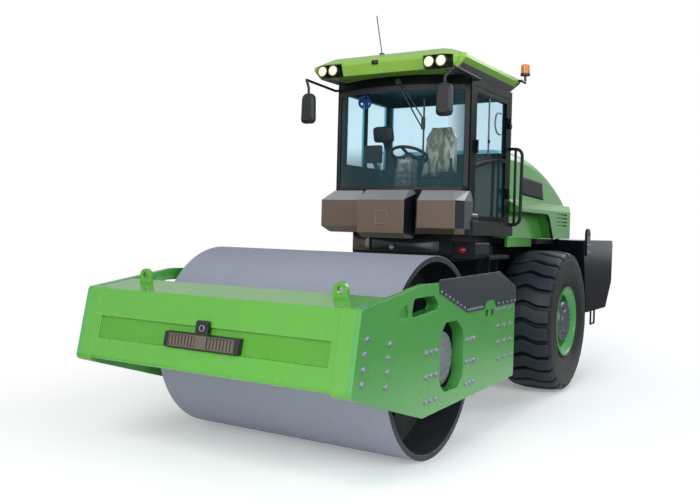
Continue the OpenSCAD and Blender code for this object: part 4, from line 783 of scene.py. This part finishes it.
def pad(name, source, material, voxel=0.011, drawn_in=0.97, pressure=4.0, steps=20, cap=0.026):
    """A stuffed seat piece: the construction's block, drawn in about its middle, is remeshed evenly and blown
    up as cloth under pressure. No point moves further than cap, and one level of subdivision rounds it."""
    piece = bpy.data.objects.new(name, nodes[source].data.copy())
    bpy.context.scene.collection.objects.link(piece)
    work = bmesh.new()
    work.from_mesh(piece.data)
    bmesh.ops.remove_doubles(work, verts=work.verts, dist=1e-5)
    work.to_mesh(piece.data)
    work.free()
    even = piece.modifiers.new("even", "REMESH")
    even.mode = "VOXEL"
    even.voxel_size = voxel
    settle(piece)
    start = places_of(piece)
    middle = (start.min(0) + start.max(0)) / 2
    start = middle + (start - middle) * drawn_in
    piece.data.vertices.foreach_set("co", start.ravel())
    swell = piece.modifiers.new("swell", "CLOTH")
    swell.settings.use_pressure = True
    swell.settings.uniform_pressure_force = pressure
    swell.settings.effector_weights.gravity = 0.0
    for step in range(1, steps + 1):
        bpy.context.scene.frame_set(step)
    settle(piece)
    move = places_of(piece) - start
    far = np.linalg.norm(move, axis=1, keepdims=True)
    held = start + move * np.minimum(1.0, cap / np.maximum(far, 1e-9))
    piece.data.vertices.foreach_set("co", held.ravel())
    bpy.context.scene.frame_set(1)
    piece.data.polygons.foreach_set("use_smooth", np.full(len(piece.data.polygons), True))
    piece.data.materials.clear()
    piece.data.materials.append(material)
    rounded = piece.modifiers.new("soft", "SUBSURF")
    rounded.levels = rounded.render_levels = 1
    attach(piece, "rear_body")
    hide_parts(source)


pad("seat_cushion_pad", "seat_cushion", seat_cloth)
pad("seat_back_pad", "seat_back", seat_film)

# Small things in the cab: a screen on an arm and a blue fan under the roof, in moulded plastic.
# The arm and the fan's stem are drawn bars, and the fan is a turned hoop with a hub and five blades.


def bar(radius, path, over, sides=16):
    """Points of a round bar: a circle carried along a path. Its sideways axis is square to the path and to
    over, its upward one is square to both, and each end is closed to the path's own end."""
    path = np.asarray(path, float)
    angle = np.arange(sides) * 2 * np.pi / sides
    profile = radius * np.column_stack([np.cos(angle), np.sin(angle)])
    along = np.gradient(path, axis=0)
    along /= np.linalg.norm(along, axis=1, keepdims=True)
    across = np.cross(along, np.asarray(over, float))
    across /= np.linalg.norm(across, axis=1, keepdims=True)
    rise = np.cross(across, along)
    rows = path[:, None] + profile[:, 0, None] * across[:, None] + profile[:, 1, None] * rise[:, None]
    ends = np.repeat(path[[0, -1], None], len(profile), axis=1)
    return np.concatenate([ends[:1], rows, ends[1:]])[None]


def smooth_path(corners, count=28):
    """A path drawn by control points: their Bezier curve, which runs from the first one to the last."""
    corners = np.asarray(corners, float)[:, None]
    share = np.linspace(0.0, 1.0, count)[:, None]
    while len(corners) > 1:
        corners = corners[:-1] * (1 - share) + corners[1:] * share
    return corners[0]


screen_y = -0.345
arm_path = smooth_path([(0.10, screen_y, 2.395), (0.22, screen_y, 2.62), (0.30, screen_y, 2.66),
                        (0.345, screen_y, 2.74)])
skin("screen_arm", bar(0.014, arm_path, left_y), "rear_body", trim)
screen_half = (0.120, 0.085)
screen_rows = [(0.13, -0.030), (0.03, -0.030), (0.004, -0.018), (0.0, 0.0), (0.006, 0.006), (0.014, 0.006),
               (0.016, 0.003), (0.13, 0.003)]
screen = slabs((0.345, screen_y, 2.800), (0, -1, 0), (0.25, 0, 0.97), screen_half, screen_rows)
skin("screen", screen, "rear_body", trim)

fan_blue = painted("fan_blue", (0.020, 0.150, 0.560), {}, Edge=(0.15, 0.35, 0.75), Wear=0.4, Grain=0.05)
fan_x, fan_y, fan_z = 0.545, -0.470, 3.120
fan_place, fan_aim = np.array((fan_x, fan_y, fan_z)), (1, 0, -0.15)
hoop_rows = [(0.064, -0.020), (0.070, -0.020), (0.072, 0.0), (0.070, 0.020), (0.064, 0.020), (0.062, 0.0),
             (0.064, -0.020)]
skin("fan_hoop", turned(hoop_rows, fan_place, fan_aim), "rear_body", fan_blue)
hub_rows = [(0.0, -0.024), (0.020, -0.022), (0.022, 0.012), (0.012, 0.022), (0.0, 0.024)]
skin("fan_hub", turned(hub_rows, fan_place, fan_aim), "rear_body", fan_blue)
blade_count, blade_steps, blade_sweep = 5, 6, 0.75
blade_start = np.linspace(0, 2 * np.pi, blade_count, endpoint=False)[:, None, None]
blade_turn = blade_start + np.linspace(0.0, blade_sweep, blade_steps)[None, None, :]
blade_r = np.linspace(0.018, 0.0635, blade_steps)[None, :, None]
blade_x = np.broadcast_to(np.linspace(-0.010, 0.010, blade_steps), (blade_count, blade_steps, blade_steps))
blades = np.stack([blade_x, blade_r * np.cos(blade_turn), blade_r * np.sin(blade_turn)], -1) + fan_place
thicken(skin("fan_blades", blades, "rear_body", fan_blue, around=False), 0.002)
stem_path = np.linspace((fan_x, fan_y, fan_z + 0.068), (fan_x, fan_y, roof_low.z - 0.001), 3)
skin("fan_stem", bar(0.010, stem_path, ahead_x), "rear_body", trim)

# The door's fittings: a slim grey post between the upper panes, two black hinge blocks and a pull handle.
# Post and handle are drawn bars, and the blocks on the post are turned.
door_grey = painted("door_grey", (0.16, 0.165, 0.19), {}, Edge=(0.3, 0.3, 0.32), Gloss=0.4, Grain=0.05,
                    Round=0.003)
post_x, post_y = 0.120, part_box("door_glass")[1].y + 0.0065
post_foot, post_head = 2.575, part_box("door_frame")[1].z + 0.001
fitting_r = 0.009
post_path = np.linspace((post_x, post_y, post_foot), (post_x, post_y, post_head), 3)
skin("door_post", bar(fitting_r, post_path, ahead_x), "door", door_grey)
block_rows = [(0.0, 0.0), (0.020, 0.001), (0.023, 0.008), (0.018, 0.016), (0.0, 0.018)]
block_places = [(post_x, post_y - 0.004, z) for z in (2.713, 3.172)]
skin("hinge_blocks", turned(block_rows, block_places, left_y), "door", rubber_trim)
grip_path = smooth_path([(-0.215, post_y, 3.035), (0.005, post_y, 3.075), (0.005, post_y, 2.780),
                         (-0.215, post_y, 2.820)])
skin("door_grip", bar(fitting_r, grip_path, left_y), "door", door_grey)

# The grab rails at the cab's rear corners: bent steel tube in the chassis paint, one loop on each side.
# Each loop is welded to the cab above and to the sill below, with a slimmer upright by the cab's wall.
rail_low, rail_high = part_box("handrails")
rail_r, upright_r, joint_r, bend_r = 0.017, 0.014, 0.018, 0.085
rail_x, rail_out = rail_high.x - 0.022, rail_high.y - joint_r
rail_top, rail_foot = rail_high.z - joint_r, rail_low.z + joint_r
wall_y, sill_y, upright_y = 0.7502, 0.8002, 0.824
foot_lean = 0.005


def bent_path(corners, bend):
    """A path of straight legs. Each inner corner is a parabola that leaves its legs at the length bend."""
    corners = np.asarray(corners, float)
    legs = [corners[:1]]
    for before, corner, after in zip(corners[:-2], corners[1:-1], corners[2:]):
        leave = corner + (before - corner) * min(1.0, bend / np.linalg.norm(before - corner))
        meet = corner + (after - corner) * min(1.0, bend / np.linalg.norm(after - corner))
        legs.append(smooth_path([leave, corner, meet], 12))
    return np.vstack(legs + [corners[-1:]])


def mirrored(points):
    """A left piece's points and their mirror image on the right."""
    return np.concatenate([points, points * (1, -1, 1)])


loop_path = bent_path([(rail_x, wall_y, rail_top), (rail_x - 0.020, rail_out, rail_top),
                       (rail_x + 0.003, rail_out, rail_foot), (rail_x + foot_lean, sill_y, rail_foot)],
                      bend_r)
loops = skin("rail_loops", mirrored(bar(rail_r, loop_path, ahead_x)), "rear_body", chassis_paint)
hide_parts("handrails")
upright_path = np.linspace((rail_x, upright_y, rail_top), (rail_x + foot_lean, upright_y, rail_foot), 3)
skin("rail_uprights", mirrored(bar(upright_r, upright_path, ahead_x)), "rear_body", chassis_paint)

# The mirrors: silvered glass with rounded corners, set in the back of each black moulded housing.
# The housings and their arms are the construction's own, in the cab's trim.
silver, tree, bsdf = shader("mirror_silver")
surface(bsdf, Base_Color=(0.78, 0.80, 0.82), Metallic=1.0,
        Roughness=ramp(tree, noise(tree, 9.0), 0.3, 0.8, 0.02, 0.08))
mirror_x, mirror_y, mirror_z = 1.1937, 0.732, 2.977
mirror_places = [(mirror_x, side * mirror_y, mirror_z) for side in (1, -1)]
plate("mirror_glass", mirror_places, (0, -1, 0), up_z, half=(0.064, 0.128), thick=0.003, edge=0.002,
      material=silver, power=4.0)

# The beacon: a ribbed dome of amber plastic, moulded in one, on a black foot.
# A bracket holds it at the roof's rear left corner.
beacon_low, beacon_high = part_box("beacon")
dome_r, dome_h, dome_ribs = 0.052, 0.095, 30.0
beacon_x, beacon_y = beacon_low.x + dome_r, (beacon_low.y + beacon_high.y) / 2
beacon_skin, tree, bsdf = shader("beacon")
x, y, z = parts(tree)
dome = above(tree, z, beacon_high.z - dome_h)
turn = maths(tree, "ARCTAN2", maths(tree, "SUBTRACT", y, beacon_y), maths(tree, "SUBTRACT", x, beacon_x))
ribs = maths(tree, "SINE", maths(tree, "MULTIPLY", turn, dome_ribs))
amber = blend(tree, ramp(tree, ribs, -0.6, 0.8), (0.42, 0.105, 0.012), (0.72, 0.25, 0.05))
coat(bsdf, blend(tree, dome, (0.010, 0.010, 0.011), amber), Edge=(0.8, 0.45, 0.2), Wear=0.2, Gloss=0.22,
     Grain=0.05, Round=0.003)
surface(bsdf, Emission_Color=blend(tree, dome, (0, 0, 0), (0.10, 0.025, 0.003)), Emission_Strength=1.0)
dress(beacon_skin, "beacon")

# Under the cab: a black cover with a small work lamp, a taupe plate, three short pipes and a red switch.
# Covers are thin pressed plates on the deck's front face, and the lamp and the switch are turned.
deck_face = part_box("deck_frame")[1].x
plate("deck_cover", (deck_face, 0.050, 1.648), left_y, up_z, half=(0.380, 0.066), thick=0.010, edge=0.004,
      material=dark_paint, power=9.0)
plate("deck_plate", (deck_face, -0.452, 1.655), left_y, up_z, half=(0.100, 0.078), thick=0.014, edge=0.004,
      material=bumper_skin, power=9.0)
cup_rows = [(0.0, -0.002), (0.012, -0.002), (0.022, 0.004), (0.026, 0.030), (0.024, 0.034), (0.019, 0.033),
            (0.0, 0.026)]
cup_place = (deck_face + 0.0095, -0.080, 1.622)
skin("deck_lamp", turned(cup_rows, cup_place, ahead_x), "rear_body", steel)
red_knob = painted("red_knob", (0.28, 0.012, 0.012), {}, Edge=(0.7, 0.2, 0.15), Grain=0.05, Round=0.003)
knob_rows = [(0.0, -0.002), (0.030, -0.002), (0.032, 0.008), (0.020, 0.012), (0.018, 0.030), (0.030, 0.034),
             (0.030, 0.046), (0.0, 0.050)]
knob_place = (deck_face - 0.0305, 0.672, 1.612)
skin("battery_switch", turned(knob_rows, knob_place, ahead_x), "rear_body", red_knob)
pipe_r, pipe_out, pipe_end_x = 0.013, 0.60, 0.545
pipe_paths = [smooth_path([(deck_face - 0.005, y, 1.575), (pipe_out, y, 1.56), (pipe_out, y + 0.040, 1.53),
                           (pipe_end_x, y + 0.040, 1.512)]) for y in (0.300, 0.360, 0.430)]
pipes = np.concatenate([bar(pipe_r, path, left_y) for path in pipe_paths])
skin("deck_pipes", pipes, "rear_body", chassis_paint)

# The steps' landings: chequered steel plates in the chassis paint, one on each side.
# Their grip is rows of studs, pressed up from the plate.
steps_low, steps_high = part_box("access_steps")
stud_x, stud_y = np.meshgrid(np.linspace(steps_low.x + 0.0295, steps_high.x - 0.0305, 15),
                             np.linspace(0.590, steps_high.y - 0.025, 6), indexing="ij")
studs = np.column_stack([stud_x.ravel(), stud_y.ravel(), np.full(stud_x.size, steps_high.z)])
stud_rows = [(0.0, -0.001), (0.011, -0.001), (0.009, 0.004), (0.006, 0.005), (0.005, 0.002), (0.0, 0.002)]
skin("step_studs", turned(stud_rows, mirrored(studs), up_z, 12), "rear_body", chassis_paint)

# The hood: one green moulding with round shoulders and pods over the wheels. Rubber edges the wheel arches.
# A blank dark plate follows the left flank, and a thin seam crosses the moulding ahead of its tail.
hood_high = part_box("hood")[1]
top_r = 4.770
top_x, top_z = hood_high.x - 0.380, hood_high.z - top_r
crown_half, shoulder_r, flank_lean = 0.650, 0.150, 0.1
seam_x, seam_half = -2.45, 0.0035
hood_paint, tree, bsdf = shader("hood_paint")
from_seam = maths(tree, "ABSOLUTE", maths(tree, "SUBTRACT", parts(tree)[0], seam_x))
tint = blend(tree, below(tree, from_seam, seam_half), (0.080, 0.320, 0.055), (0.012, 0.04, 0.008))
coat(bsdf, tint, Edge=(0.36, 0.66, 0.30), Wear=0.4, Gloss=0.26, Dust=0.04, Round=0.008, **smooth_spray)
surface(bsdf, Specular_IOR_Level=0.3, Coat_Weight=0.12, Coat_Roughness=0.07)
dress(hood_paint, "hood")


def flank(x, z):
    """The hood's side at x and z: half the crown's width, and the lean times the depth below the shoulder."""
    deep = top_r - np.hypot(x - top_x, z - top_z)
    return crown_half + flank_lean * (deep - shoulder_r)


plate_front, plate_foot, plate_l, plate_h, plate_drop = -1.120, 2.235, 0.80, 0.215, 0.030
plate_stand, plate_thick = 0.0045, 0.006
plate_u, plate_v = np.meshgrid(np.linspace(0, 1, 30), np.linspace(0, 1, 10), indexing="ij")
plate_x = plate_front - plate_l * plate_u
plate_z = plate_foot + plate_h * plate_v - plate_drop * plate_u
plate_grid = np.stack([plate_x, flank(plate_x, plate_z) + plate_stand, plate_z], -1)
plate_paint = painted("plate_paint", (0.007, 0.010, 0.018), dict(Specular_IOR_Level=0.2),
                      Edge=(0.05, 0.06, 0.08), Gloss=0.55, Round=0.002)
thicken(skin("hood_plate", plate_grid[None], "engine_hood", plate_paint, around=False), plate_thick)
ledge_z, seal_r, seal_y = 2.022, 0.013, hood_high.y - 0.008
arch_curve = smooth_path([(-1.520, ledge_z), (-1.6045, ledge_z), (-1.665, 1.935)], 16)
arch_line = np.vstack([[(hood_high.x - 0.01, ledge_z), (-1.0, ledge_z)], arch_curve,
                       [(-1.735, 1.834), (-1.802, 1.737)]])
seal_path = np.column_stack([arch_line[:, 0], np.full(len(arch_line), seal_y), arch_line[:, 1]])
seal = bar(seal_r, seal_path, left_y, 12)
skin("arch_seals", mirrored(seal), "engine_hood", rubber_trim)

# The ballast box and what hangs on it: cast steel in glossy blue-black paint, with bolted sling plates.
# Its tail lamps are red plastic in small squares, with an amber inner end.
ballast_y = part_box("rear_ballast")[1].y
sling_x, sling_half, sling_low, sling_high = -2.1915, 0.045, 1.575, 1.665
lens_waves, amber_y = 420.0, 0.86
ballast_paint = painted("ballast_paint", (0.004, 0.006, 0.011), dict(Specular_IOR_Level=0.25),
                        Edge=(0.06, 0.075, 0.10), Wear=0.4, Gloss=0.16, Mottle=0.3, Dust=0.03, Grain=0.02,
                        Grain_Size=45.0, Round=0.010)
dress(ballast_paint, "rear_ballast")
sling = np.array([(sling_x + x, ballast_y, z) for x in (-sling_half, sling_half)
                  for z in (sling_low, sling_high)])
bolts("sling_bolts", [sling, sling * (1, -1, 1)], outward, 0.015, "rear_body")
tail_lens, tree, bsdf = shader("tail_red")
red = blend(tree, ramp(tree, squares(tree, lens_waves), -0.7, 0.7), (0.30, 0.010, 0.008), (0.55, 0.03, 0.02))
inner_end = below(tree, maths(tree, "ABSOLUTE", parts(tree)[1]), amber_y)
coat(bsdf, blend(tree, inner_end, red, (0.62, 0.24, 0.05)), Edge=(0.8, 0.3, 0.2), Wear=0.3, Gloss=0.15,
     Grain=0.05, Round=0.003)
dress(tail_lens, "tail_lamps")
